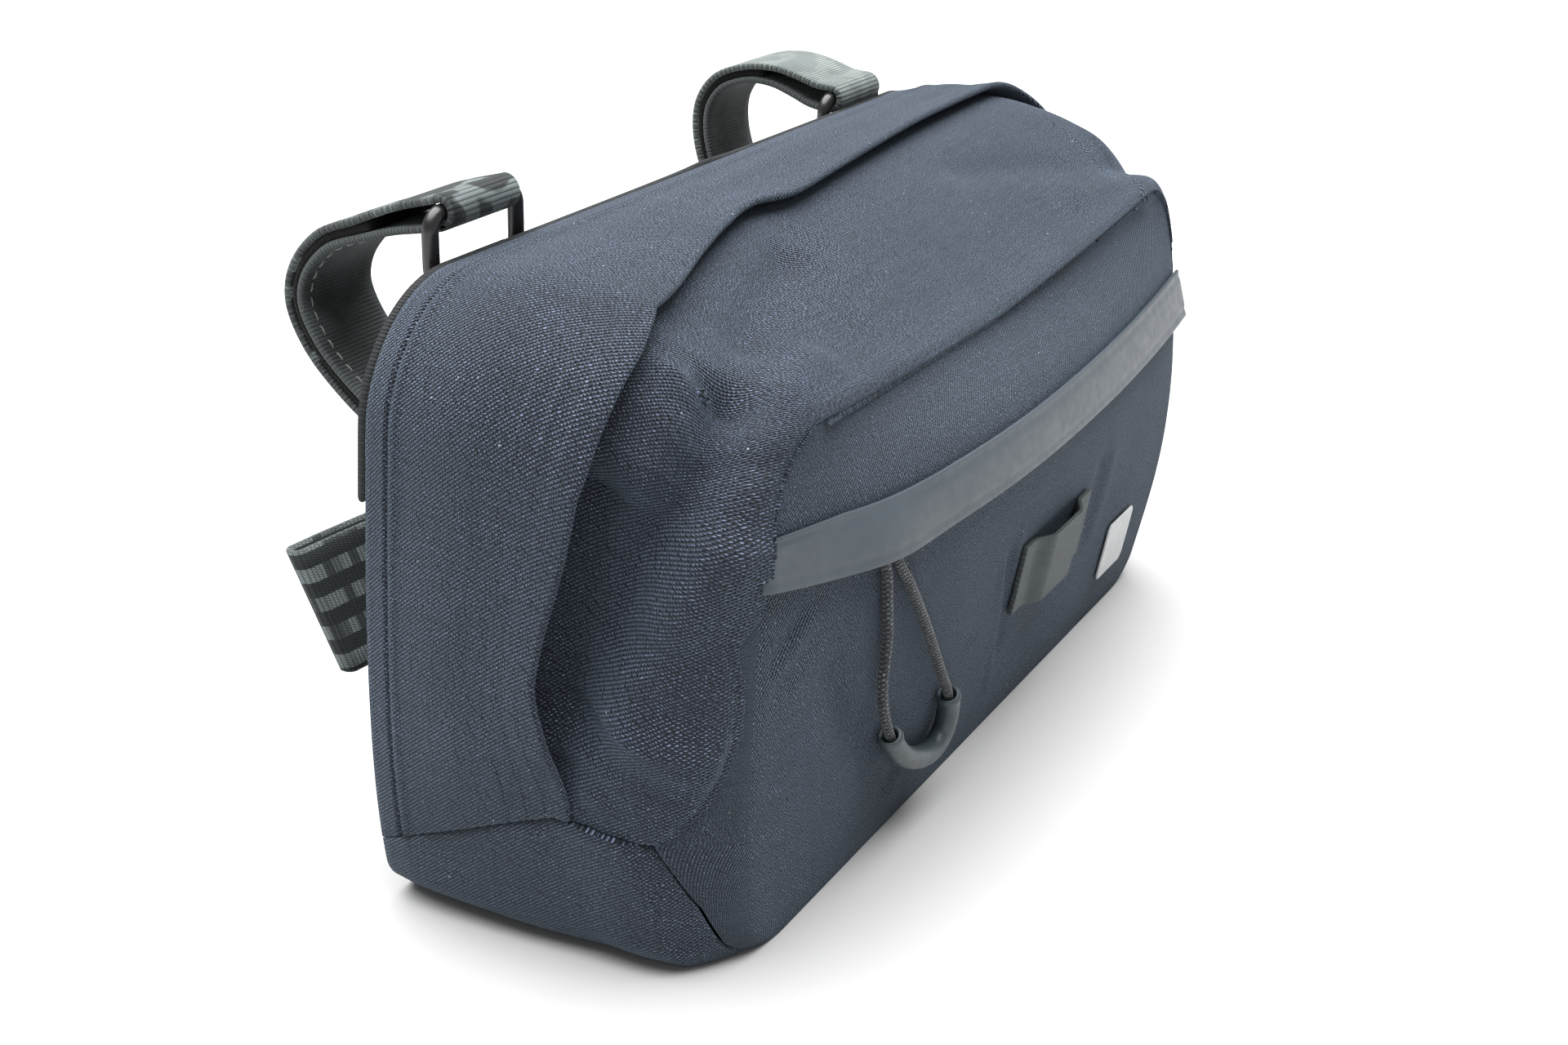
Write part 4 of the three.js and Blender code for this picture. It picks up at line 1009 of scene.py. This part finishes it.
# Camera, kept level with the photograph's frame by a small roll
def make_camera():
    yaw, pitch, roll = CAMERA_YAW, CAMERA_PITCH, CAMERA_ROLL
    ahead = Vector((math.sin(yaw) * math.cos(pitch), math.cos(yaw) * math.cos(pitch), -math.sin(pitch)))
    right = Vector((math.cos(yaw), -math.sin(yaw), 0))
    above = right.cross(ahead)
    across = math.cos(roll) * right + math.sin(roll) * above
    upright = math.cos(roll) * above - math.sin(roll) * right
    data = bpy.data.cameras.new("camera")
    data.lens = LENS
    data.sensor_width = SENSOR
    data.clip_start = 0.01
    made = bpy.data.objects.new("camera", data)
    bpy.context.scene.collection.objects.link(made)
    turned = Matrix((across, upright, -ahead)).transposed()
    made.matrix_world = Matrix.Translation(Vector(CAMERA_PLACE) * MM) @ turned.to_4x4()
    bpy.context.scene.camera = made


# Pull cord and its grip
def make_cord():
    path = spline(CORD_ROUTE, 16)
    dense = even(path, 520)
    cord = tube("pull_cord_braid", dense, CORD_DIAMETER / 2, 20, CORD, scale=1.0)
    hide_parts("pull_cord")
    steps, sections = 24, 90
    held = slice(GRIP_FIRST * steps, GRIP_LAST * steps + 1)
    grip_path = even(spline(CORD_ROUTE, steps)[held] / MM, sections)
    share = np.linspace(0, 1, sections)
    mouth = np.minimum(share, 1 - share) * 60
    collar = 0.32 * bell(mouth, 1.1, 0.8) - 0.55 * np.exp(-mouth / 0.22)
    outside = GRIP_DIAMETER / 2 + collar - 0.12 * ease((mouth - 2) / 6)
    inside = GRIP_BORE / 2 + 0.35 * np.exp(-mouth / 0.5)
    grip = sleeve("pull_grip_tube", grip_path, outside, inside, 28, GRIP)
    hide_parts("pull_grip")


# Sewn panels
def band_places(foot, end_steps, corner_steps, top_steps):
    """Ring places along a band, the same on both halves."""
    left = np.r_[np.linspace(foot, 3, end_steps + 1), np.linspace(3, 4, corner_steps + 1)[1:]]
    top = np.linspace(4, 5, top_steps + 1)[1:-1]
    return np.r_[left, top, (TURNS - left)[::-1]]


def cloth_uv(grid):
    """Metres along and across a grid, so that the weave keeps its scale."""
    middle = grid[len(grid) // 2]
    u = run_length(middle, 0) * MM
    v = run_length(grid, 0) * MM
    return np.stack(np.broadcast_arrays(u[None, :], v), -1)


def run_to(along):
    """Length round the body from the foot of its end to a place on the ring."""
    place = folded(along)
    end = BODY_HEIGHT - TOP_CORNER - BOTTOM_CORNER
    below = BOTTOM_CORNER * np.pi / 2 * (1 - np.clip(place - 1, 0, 1))
    below = below + (HALF_LENGTH - BOTTOM_CORNER) * (1 - np.clip(place, 0, 1))
    corner = TOP_CORNER * np.pi / 2 * np.clip(place - 3, 0, 1)
    top = (HALF_LENGTH - TOP_CORNER) * 2 * np.maximum(place - 4, 0)
    return end * np.clip(place - 2, 0, 1) - below + corner + top


def body_uv(along, depth):
    """Metres round the body and along its depth, for the weave."""
    along, depth = np.broadcast_arrays(along, depth)
    run = run_to(TURNS / 2) - run_to(along)
    return np.stack([np.where(along > TURNS / 2, run, -run), depth * BODY_DEPTH], -1) * MM


def line_distance(a, b, line_a, line_b):
    """Distance in a plane to a broken line, and how far the nearest place is from its ends."""
    steps = np.hypot(np.diff(line_a), np.diff(line_b))
    best, from_end, start = np.inf + 0 * (a + b), 0 * (a + b), 0.0
    for a0, b0, a1, b1, step in zip(line_a, line_b, line_a[1:], line_b[1:], steps):
        run_a, run_b = a1 - a0, b1 - b0
        share = np.clip(((a - a0) * run_a + (b - b0) * run_b) / step**2, 0, 1)
        away = np.hypot(a - a0 - share * run_a, b - b0 - share * run_b)
        place = start + share * step
        from_end = np.where(away < best, np.minimum(place, steps.sum() - place), from_end)
        best = np.minimum(best, away)
        start += step
    return best, from_end


def fold_height(along, depth):
    """Height of the gusset's folds at places on the body."""
    run, behind = run_to(along), depth * BODY_DEPTH
    up, down = 0, 0
    for wide, rise, line in FOLDS:
        line_run, line_depth = run_to(line["along"]), line["depth"] * BODY_DEPTH
        away, from_end = line_distance(run, behind, line_run, line_depth)
        taper = FOLD_END + (1 - FOLD_END) * ease(from_end / FOLD_TAPER)
        own = (abs(rise) * taper * bell(away, 0, wide * FOLD_WIDTH)) ** FOLD_BLEND
        up = up + own * (rise > 0)
        down = down + own * (rise < 0)
    height = up ** (1 / FOLD_BLEND) - down ** (1 / FOLD_BLEND)
    calm = np.where(along > TURNS / 2, RIGHT_FOLDS, 1.0)
    return FOLD_DEPTH * calm * height * ease((seam_depth(along) - depth) / FOLD_FADE)


def base_edge(depth):
    """Ring place of the base panel's slanted edge."""
    return straight(BASE_EDGE, "depth", "along", depth)


def slanted(nominal, foot):
    """Ring places moved so that a band's foot follows a slanted edge."""
    low = foot + (3 - foot) * (nominal - 2)
    high = 6 + (TURNS - foot - 6) * (nominal - 6)
    return np.where(nominal < 3, low, np.where(nominal > 6, high, nominal))


def edge_reach(along):
    """Depth of the hood's free edge."""
    return smooth(HOOD_EDGE, "along", "reach", along)


def make_hood():
    rows = [np.linspace(low, high, 34) for low, high in ((0, 1), (0.08, 0.34), (0.7, 1))]
    shares = np.unique(np.concatenate(rows))[:, None]
    nominal = band_places(2, 40, 36, 90)[None, :]
    reach = edge_reach(slanted(nominal, base_edge(edge_reach(nominal)) + END_GAP))
    depth = shares * reach
    foot = base_edge(depth) + END_GAP
    place = slanted(nominal, foot)
    above_foot = run_to(place) - run_to(foot)
    open_edge = 0.25 + 0.75 * ease(above_foot / HOOD_OPENS)
    flare = HOOD_FLARE * np.clip((shares - HOOD_FLAT) / (1 - HOOD_FLAT), 0, 1) ** 2
    lift = (HOOD_LIFT * ease(shares / HOOD_FLAT) + flare) * open_edge
    behind = depth * BODY_DEPTH
    before_edge = (reach - depth) * BODY_DEPTH
    ridge = BACK_RIDGE * bell(behind, BACK_SEAM, 1.3) - BACK_GROOVE * bell(behind, BACK_SEAM - 1.9, 0.6)
    hem = HEM_STEP * ease((HEM - before_edge) / 2.5) - 0.06 * bell(before_edge, HEM + 0.7, 0.8)
    hem = hem * open_edge * ease(above_foot / 6)
    waves = 0.35 * ripple(nominal * 3.1, depth * 4, 3) * ease(behind / 20)
    grid = side(place, depth, lift + ridge + hem + waves)
    uvs = body_uv(place, depth)
    made = cloth("hood_cloth", grid, moved(grid, HOOD_WALL), uvs, FABRIC_BLUE, (False, True))
    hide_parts("hood")


def gusset_foot(depth):
    """Ring place of the gusset's foot at a depth."""
    return base_edge(np.minimum(depth, FOOT_DEPTH)) + END_GAP


def gusset_places(shares):
    """Ring places and depths of the gusset, and the millimetres left to its front seam."""
    nominal = band_places(GUSSET_FOOT, 90, 50, 110)[None, :]

    def across(reach, seam):
        return reach - HOOD_OVERLAP + (seam - reach + HOOD_OVERLAP) * shares

    foot = gusset_foot(across(edge_reach(nominal), seam_depth(nominal)))
    low = foot + (3 - foot) * (folded(nominal) - GUSSET_FOOT) / (3 - GUSSET_FOOT)
    place = np.where(folded(nominal) < 3, low, folded(nominal))
    places = np.where(nominal > TURNS / 2, TURNS - place, place)
    seam = seam_depth(places) - GAP / BODY_DEPTH
    depth = across(edge_reach(places), seam)
    return places, depth, (seam - depth) * BODY_DEPTH


def gusset_edge(places, depth, rise, hangs, lobe):
    """Rows of the edge beyond the seam, which turn in past the front, and their depths."""
    steps = np.linspace(0, 1, EDGE_ROWS + 1)[1:, None]
    overhang = ROLL_OVERHANG + (LOBE_OVERHANG - ROLL_OVERHANG) * lobe
    beyond = (LIP + (overhang - LIP) * hangs) * steps
    lift = rise * hangs * np.sqrt(1 - steps**2) + 0.35 * hangs * steps
    further = depth + beyond / BODY_DEPTH
    over = np.maximum(further - 1, 0) * BODY_DEPTH
    turned = ease(over / 2)
    edge = side(places, np.minimum(further, 1), lift * (1 - turned))
    inward = side(places, 1.0, -1.0) - side(places, 1.0)
    edge += inward * over[..., None]
    edge[..., 1] -= lift * turned
    return edge, further


def make_gusset():
    shares = np.unique(np.r_[np.linspace(0, 1, 64), np.linspace(0.88, 1, 16)])[:, None]
    places, depth, before_seam = gusset_places(shares)
    near = folded(places)
    lobe = ease((LOBE_TOP - near) / LOBE_FADE)
    hangs = ease((HANG_TOP - near) / HANG_FADE) * (places < TURNS / 2)
    rise = ROLL_RISE + ROLL_OVER_STRIP * bell(places, float(zip_place(-1.0, 0.0)), 0.1)
    rise = rise + (LOBE_RISE - rise) * lobe
    closed = np.sqrt(1 - np.clip(1 - before_seam / ROLL_WIDTH, 0, 1) ** 2)
    roll = rise * bell(before_seam, 0, ROLL_FADE) * (hangs + (1 - hangs) * closed)
    fine = 0.25 * ripple(places * 9, depth * 16, 5) * ease(before_seam / 4)
    above_foot = run_to(near) - run_to(gusset_foot(depth))
    folds = fold_height(places, depth)
    folds = np.where(folds < 0, folds * ease((above_foot + 1) / FOOT_CALM), folds)
    last = [values[-1:] for values in (places, depth, rise, hangs, lobe)]
    edge, further = gusset_edge(*last)
    grid = np.concatenate([side(places, depth, folds + roll + fine), edge])
    uvs = np.concatenate([body_uv(places, depth), body_uv(last[0], further)])
    thinning = ease((np.arange(len(grid)) - len(grid) + THIN_ROWS) / (THIN_ROWS - 2))
    wall = FABRIC + (THIN_EDGE - FABRIC) * thinning[:, None, None]
    made = cloth("gusset_cloth", grid, moved(grid, wall), uvs, FABRIC_BLUE, (False, True))
    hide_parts("gusset")


def make_base():
    limit = SEAM_LIMIT - 1.2 * GAP / BODY_DEPTH
    depths = np.unique(np.r_[np.linspace(0, 0.5, 18), np.linspace(0.5, limit, 60)])[:, None]
    foot = np.minimum(base_edge(depths), base_edge(depths + GAP / BODY_DEPTH))
    share = np.linspace(0, 1, 44)[None, :]
    left = foot + (1 - foot) * share
    middle = np.linspace(1, 0, 10)[None, 1:] + 0 * foot
    half = np.concatenate([left, middle], 1)
    places = np.concatenate([half, (TURNS - half)[:, -2::-1]], 1)
    end = folded(places)
    crease = straight(CREASE, "along", "depth", end)
    beside = (depths - crease) * BODY_DEPTH
    room = np.maximum((seam_depth(places) - crease) * BODY_DEPTH, 3)
    fall = np.where(beside < 0, -beside / CREASE_FALL, beside / room)
    ridge = CREASE_RISE * np.clip(1 - fall, 0, 1) * ease((end - 1.15) / 0.3)
    ridge = ridge + 0.3 * ripple(places * 7, depths * 9, 8) * ease(end - 1.2)
    outer = side(places, depths + 0 * places, ridge)
    inner = side(places, depths + 0 * places, -HOOD_WALL)
    uvs = body_uv(places, depths)
    made = cloth("base_cloth", outer, inner, uvs, FABRIC_BLUE, (False, True))
    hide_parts("base_panel")


def zip_reach(across):
    """Half the front's width at the zip, on the side of a share across."""
    level = place_at(ZIP_LEVEL)
    left, right = (abs(ring(place, 1.0)[0]) for place in (level, TURNS - level))
    return np.where(across < 0, left, right)


def zip_middle(x):
    """Height of the zip's middle under a given x: it curls up towards the left corner."""
    from_corner = zip_reach(-1.0) + x
    return ZIP_LEVEL + ZIP_CURL * np.clip(1 - from_corner / CURL_LENGTH, 0, 1) ** 2


def zip_place(across, above):
    """Ring place beside the zip at a share across, some way above or below its middle."""
    return place_at(zip_middle(across * zip_reach(across)) + above)


def soften(grid, count):
    """Rounds the corners between the face and the parts that wrap back round both ends."""
    run = run_length(grid, 1)
    spacing = np.gradient(run, axis=1)
    near = np.zeros_like(run)
    for corner in (count, grid.shape[1] - count - 1):
        near = np.maximum(near, bell(run, run[:, corner:corner + 1], 2.5 * CORNER_SOFTNESS))
    near = near * ease(run / 3) * ease((run[:, -1:] - run) / 3)
    out = grid.copy()
    for row in range(len(grid)):
        share = bell(run[row][:, None], run[row][None, :], CORNER_SOFTNESS) * spacing[row]
        blurred = share @ grid[row] / share.sum(1, keepdims=True)
        out[row] += (blurred - grid[row]) * near[row][:, None]
    return out


def front_wrinkles(grid, count):
    """Height of the front panel's wrinkles over a grid of its points."""
    height = 0.25 * ripple(grid[..., 0] / 14, grid[..., 2] / 11, 12)
    for wide, rise, line in FRONT_FOLDS:
        away, from_end = line_distance(grid[..., 0], grid[..., 2], line["x"], line["z"])
        height = height + rise * bell(away, 0, wide) * ease((from_end + 2) / 8)
    run, up = run_length(grid, 1), run_length(grid, 0)
    from_left, from_right = run - run[:, count:count + 1], run[:, -count - 1:-count] - run
    held = ease((from_left + 4) / 8) * ease((from_right + 4) / 8)
    return height * held * ease((up[-1:] - up) / 8) * ease(grid[..., 2] / 12)


def make_front_lower():
    low = np.r_[np.linspace(1, 2, 24), np.linspace(2, 2.55, 50)[1:]]
    high = np.linspace(0, 1, 22)[1:, None]
    across = np.linspace(-1, 1, 150)
    knee = low[-1]

    def raised(at):
        top = zip_place(at, -ZIP_SLOT / 2)
        return np.concatenate([low[:, None] + 0 * at, knee + (top - knee) * high])

    face = front(across[None, :], raised(across[None, :]))
    sides = {}
    for end in (-1.0, 1.0):
        along = raised(np.array([[end]]))
        start = np.minimum(seam_depth(along) + 0.3 * GAP / BODY_DEPTH, 1 - GAP / BODY_DEPTH)
        depths = start + (1 - start) * np.linspace(0, 1, 12)[None, :-1]
        place = along if end < 0 else TURNS - along
        turn = slice(None) if end < 0 else slice(None, None, -1)
        sides[end] = [side(place, depths, lift)[:, turn] for lift in (0.0, -FABRIC)]
    outer = np.concatenate([sides[-1.0][0], face, sides[1.0][0]], 1)
    count = sides[1.0][0].shape[1]
    outer = soften(outer, count)
    outer = moved(outer, -front_wrinkles(outer, count)[..., None])
    inner = moved(outer, FABRIC)
    inner[:, :count] = sides[-1.0][1]
    inner[:, -count:] = sides[1.0][1]
    u = run_length(outer, 1)[len(outer) // 2] * MM
    v = run_length(outer, 0)[:, outer.shape[1] // 2] * MM
    uvs = np.stack(np.meshgrid(u, v), -1)
    made = cloth("front_lower_cloth", outer, inner, uvs, FABRIC_BLUE, (False, False))
    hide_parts("front_lower")


def make_front_upper():
    across = np.linspace(-1, 1, 150)[None, :]
    foot = zip_place(across, ZIP_SLOT / 2)
    places = foot + (4 - foot) * np.linspace(0, 1, 40)[:, None]
    grid = front(across, places, FRONT_TUCK)
    made = sheet("front_upper_cloth", grid, FABRIC, FABRIC_BLUE, (False, False))
    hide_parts("front_upper")


def make_zip_cover():
    share = np.linspace(0, 1, 16)[:, None]
    across = np.linspace(-1, 1, 170)[None, :]
    grooves = FLAP_GROOVE * (bell(share, 0.12, 0.05) + bell(share, 0.9, 0.05))
    lift = TOUCH + FLAP_RISE * (1 - share) + FLAP_WALL - grooves
    above = FLAP_HEIGHT * (share - 0.5)
    x = across * zip_reach(across)
    bump = SLIDER_BUMP * bell(x, SLIDER_X, SLIDER_REACH) * (1 - share**2)
    face = front_at(x, zip_middle(x) + above, lift + bump)
    along = zip_place(np.array([[-1.0]]), above)
    start = np.minimum(seam_depth(along) + 2 * GAP / BODY_DEPTH, 1 - GAP / BODY_DEPTH)
    turned = side(along, start + (1 - start) * np.linspace(0, 1, 9)[None, :-1], lift)
    grid = np.concatenate([turned, face], 1)
    made = sheet("zip_cover_strip", grid, FLAP_WALL, COVER)
    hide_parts("zip_cover")


def make_loop():
    share = np.linspace(0, 1, 80)[None, :]
    rise = np.linspace(-0.5, 0.5, 20)[:, None]
    sewn = LOOP_SEWN / LOOP_LENGTH
    slot = LOOP_SLOT * ease((0.5 - np.abs(share - 0.5) - sewn) / 0.18)
    x = LOOP_X + (share - 0.5) * LOOP_LENGTH + 0 * rise
    grid = front_at(x, LOOP_Z + rise * LOOP_HEIGHT + 0 * x, TOUCH + LOOP_WALL + slot + 0 * x)
    made = sheet("light_loop_band", grid, LOOP_WALL, LOOP_WEBBING)
    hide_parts("light_loop")


def make_patch():
    rise = np.linspace(-0.5, 0.5, 16)[:, None]
    across = np.linspace(-0.5, 0.5, 18)[None, :]
    squeeze = 1 - 0.12 * np.clip((np.abs(rise) - 0.38) / 0.12, 0, 1) ** 2
    x = PATCH_X + across * squeeze * PATCH_WIDTH
    grid = front_at(x, PATCH_Z + rise * PATCH_HEIGHT + 0 * x, TOUCH + PATCH_WALL + 0 * x)
    made = sheet("plain_patch_label", grid, PATCH_WALL, PATCH)
    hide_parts("plain_patch")


def back_outline(margin, alongs):
    step = 0.01
    tangent = unit(ring(alongs + step, 0.0) - ring(alongs - step, 0.0))
    inward = stack(tangent[..., 2], 0.0, -tangent[..., 0])
    return ring(alongs, 0.0) + inward * margin


def back_sheet(name, node, alongs, margin, from_y, to_y, material):
    """Flat sheet on the back between mirrored outline points."""
    left, right = back_outline(margin, alongs), back_outline(margin, TURNS - alongs)
    share = np.linspace(0, 1, 60)[None, :, None]
    grid = left[:, None] * (1 - share) + right[:, None] * share
    outer, inner = grid.copy(), grid.copy()
    outer[..., 1], inner[..., 1] = to_y, from_y
    made = cloth(name, outer, inner, cloth_uv(outer), material)
    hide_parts(node)


def make_back():
    alongs = np.r_[np.linspace(1, 2, 10), np.linspace(2.05, 3, 26), np.linspace(3.05, 3.98, 14)]
    margin, from_y = HOOD_WALL + GAP, BACK_Y - BACK_WALL
    back_sheet("back_cloth", "back_panel", alongs, margin, from_y, BACK_Y, FABRIC_BLUE)
    end = BODY_HEIGHT - TOP_CORNER - BOTTOM_CORNER
    low = 2 + (BODY_HEIGHT - STRAP_PANEL_HEIGHT - BOTTOM_CORNER) / end
    alongs = np.r_[np.linspace(low, 3, 8), np.linspace(3.05, 3.98, 20)]
    from_y, to_y = BACK_Y + TOUCH, BACK_Y + TOUCH + STRAP_PANEL_WALL
    back_sheet("strap_panel_cloth", "strap_panel", alongs, TOUCH, from_y, to_y, BLACK_WEBBING)


# Handlebar straps, rings and anchors
def half_turn(y, z, radius, first, last, steps):
    turns = np.radians(np.linspace(first, last, steps + 1))
    return stack(0.0, y + radius * np.cos(turns), z + radius * np.sin(turns))


def strap_routes(top, table):
    """Outer layer, turn round the ring and inner layer of a handlebar strap."""
    root_y = BACK_Y + TOUCH + STRAP_WALL / 2
    radius = RING_WIRE / 2 + TOUCH + STRAP_WALL / 2
    height = top + radius - STRAP_ROOT
    guide = stack(0.0, root_y + table["back"] * STRAP_REACH, STRAP_ROOT + table["up"] * height)
    outer = even(spline(np.vstack([guide, [0, RING_Y, top + radius]]), 12), 97)
    tangent = unit(np.gradient(outer, axis=0))
    inward = stack(0.0, -tangent[:, 2], tangent[:, 1])
    share = np.linspace(0, 1, len(outer))
    wide = STRAP_WALL + STRAP_LAYERS
    apart = wide + (2 * radius - wide) * ease((share - 0.75) / 0.25)
    inner = outer + inward * apart[:, None]
    turn = half_turn(RING_Y, top, radius, 90, 270, 24)
    tab = np.array([[0, root_y, STRAP_ROOT - STRAP_TAB], [0, root_y, STRAP_ROOT - STRAP_WALL * 1.5]])
    return tab, outer, turn, inner


def make_strap(name, x):
    top = BODY_HEIGHT + RING_RISE[name]
    tab, outer, turn, inner = strap_routes(top, STRAP_ROUTES[name])
    aside = np.array([x, 0, 0])
    route = np.vstack([tab, outer[1:], turn[1:-1], inner[STRAP_INNER][::-1]]) + aside
    band = ribbon(f"strap_{name}_band", route, sideways, STRAP_WIDTH, STRAP_WALL, CAMO[name])
    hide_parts(f"strap_{name}")
    middle = ((outer + inner) / 2)[STRAP_PILE] + aside
    pile = ribbon(f"strap_{name}_pile", middle, sideways, STRAP_WIDTH - 1.6, STRAP_LAYERS - 0.1, PILE)
    if name == "left":
        make_strap_thread(outer, inner, aside)
    make_ring(name, x, top)
    make_anchor(name, x, top)


def make_strap_thread(outer, inner, aside):
    """Pale stitches beside the left edge of the strap's inner layer."""
    inward = unit(inner - outer)
    path = inner + inward * STRAP_WALL / 2 + aside - np.array([STRAP_WIDTH / 2 - THREAD_INSET, 0, 0])
    made = stitches("strap_left_thread", path[THREAD_SEEN], inward[THREAD_SEEN], THREAD)


def make_ring(name, x, top):
    corner, half = RING_WIRE, STRAP_WIDTH / 2 + 1.2 + RING_WIRE / 2
    low, high = top - RING_INSIDE - RING_WIRE + corner, top - corner
    centres = []
    for way, z, start in ((1, low, -90), (1, high, 0), (-1, high, 90), (-1, low, 180)):
        turns = np.radians(np.linspace(start, start + 90, 9))
        across = x + way * (half - corner) + corner * np.cos(turns)
        centres.append(stack(across, RING_Y, z + corner * np.sin(turns)))
    path = np.vstack([*centres, centres[0][:1]])
    dense = even(path, 161)[:-1]
    tangents = unit(np.roll(dense, -1, 0) - np.roll(dense, 1, 0))
    back = np.zeros_like(dense) + [0, 1, 0]
    points = circles(dense, unit(np.cross(tangents, back)), back, RING_WIRE / 2, 20)
    faces = grid_faces(*points.shape[:2], closed=True, looped=True)
    made = turn_outward(add_mesh(f"ring_{name}_wire", points.reshape(-1, 3), faces, WIRE))
    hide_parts(f"ring_{name}")


def make_anchor(name, x, top):
    bar = top - RING_INSIDE - RING_WIRE
    radius = RING_WIRE / 2 + TOUCH + ANCHOR_WALL / 2
    near = RING_Y - radius
    far = near + ANCHOR_WALL + TOUCH
    foot = bar - ANCHOR_LENGTH
    route = np.vstack([
        [[0, near, foot]],
        half_turn(RING_Y, bar, radius, 180, 0, 16),
        [[0, RING_Y + radius * 0.8, bar - RING_WIRE], [0, far, bar - 2.4 * RING_WIRE], [0, far, foot]],
    ]) + np.array([x, 0, 0])
    made = ribbon(f"anchor_{name}_band", route, sideways, STRAP_WIDTH, ANCHOR_WALL, BLACK_WEBBING)
    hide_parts(f"anchor_{name}")


def make_lower_strap():
    root_y = BACK_Y + TOUCH + LOWER_WALL / 2
    back, along, sink = (LOWER_ROUTE[key] for key in ("back", "along", "sink"))
    guide = stack(-along * LOWER_LENGTH, root_y + back * LOWER_REACH, LOWER_Z - sink * LOWER_DROP)
    first = even(spline(guide, 12), 65)
    apart = LOWER_WALL + LOWER_LAYERS
    tangent = np.gradient(first, axis=0)
    tangent[:, 2] = 0
    tangent = unit(tangent)
    out = stack(tangent[:, 1], -tangent[:, 0], 0.0)
    second = first + out * apart
    tip, away = first[-1], out[-1]
    ahead = np.array([-away[1], away[0], 0])
    turns = np.radians(np.linspace(0, 180, 13))[1:-1, None]
    fold = tip + away * apart / 2 * (1 - np.cos(turns)) + ahead * apart / 2 * np.sin(turns)
    kept = round(len(second) * (1 - LOWER_RETURN))
    route = np.vstack([[[LOWER_TAB, root_y, LOWER_Z]], first, fold, second[kept:][::-1]])
    turn_share = (len(first) + len(fold) / 2) / (len(route) - 1)

    def upright(share):
        far = min(max(1 - abs(share - turn_share) / turn_share, 0), 1)
        return (0, LOWER_LEAN * float(ease(far)), 1)

    made = ribbon("lower_strap_band", route, upright, LOWER_WIDTH, LOWER_WALL, CHECK)
    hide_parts("lower_strap")


# Floor and light
def make_studio():
    scene = bpy.context.scene
    floor_finish = Finish("floor", (FLOOR_ALBEDO,) * 3, 0.9, 0.1)
    corners = [(a * FLOOR_SIZE, b * FLOOR_SIZE, 0) for a, b in ((-1, -1), (1, -1), (1, 1), (-1, 1))]
    mesh = bpy.data.meshes.new("floor")
    mesh.from_pydata(corners, [], [(0, 1, 2, 3)])
    mesh.materials.append(floor_finish.made)
    floor = bpy.data.objects.new("floor", mesh)
    scene.collection.objects.link(floor)
    floor.location.z = FLOOR_Z
    world = bpy.data.worlds.new("studio")
    world.use_nodes = True
    background = world.node_tree.nodes["Background"]
    background.inputs["Color"].default_value = (1, 1, 1, 1)
    background.inputs["Strength"].default_value = WORLD_STRENGTH
    scene.world = world
    data = bpy.data.lights.new("sky_light", "SUN")
    data.energy = SUN_STRENGTH
    data.angle = SUN_ANGLE
    made = bpy.data.objects.new("sky_light", data)
    scene.collection.objects.link(made)
    made.rotation_euler = (*SUN_TILT, 0)
    scene.view_settings.view_transform = "Standard"
    scene.view_settings.look = "None"


FABRIC_BLUE = fabric_finish()
COVER = cover_finish()
CAMO = {
    "left": camo_finish("camo_left", (0.011, 0.014, 0.015), (0.175, 0.205, 0.208), 0.54, 0.150),
    "right": camo_finish("camo_right", (0.170, 0.200, 0.196), (0.225, 0.255, 0.245), 0.50, 0.150),
}
CHECK = check_finish()
PILE = pile_finish()
CORD = cord_finish()
THREAD = thread_finish("pale_thread", (0.20, 0.22, 0.21))
GRIP = plastic_finish("grip_plastic", (0.054, 0.070, 0.080), 0.38)
WIRE = plastic_finish("ring_metal", (0.012, 0.012, 0.013), 0.3, 0.6)
PATCH = plastic_finish("patch", (0.62, 0.64, 0.64), 0.6, 0.3)
BLACK_WEBBING = webbing_finish("black_webbing", (0.003, 0.003, 0.004), (0.018, 0.021, 0.024), sheen=0.03)
LOOP_WEBBING = webbing_finish("loop_webbing", (0.019, 0.023, 0.024), (0.066, 0.078, 0.080), 0.0008)

make_camera()
make_cord()
make_hood()
make_gusset()
make_base()
make_front_lower()
make_front_upper()
make_zip_cover()
make_loop()
make_patch()
make_back()
make_strap("left", -STRAP_X)
make_strap("right", STRAP_X)
make_lower_strap()
for node, finish in (("zip_tape", BLACK_WEBBING), ("zip_slider", WIRE)):
    for place in bpy.data.objects[node].material_slots:
        place.material = finish
make_studio()
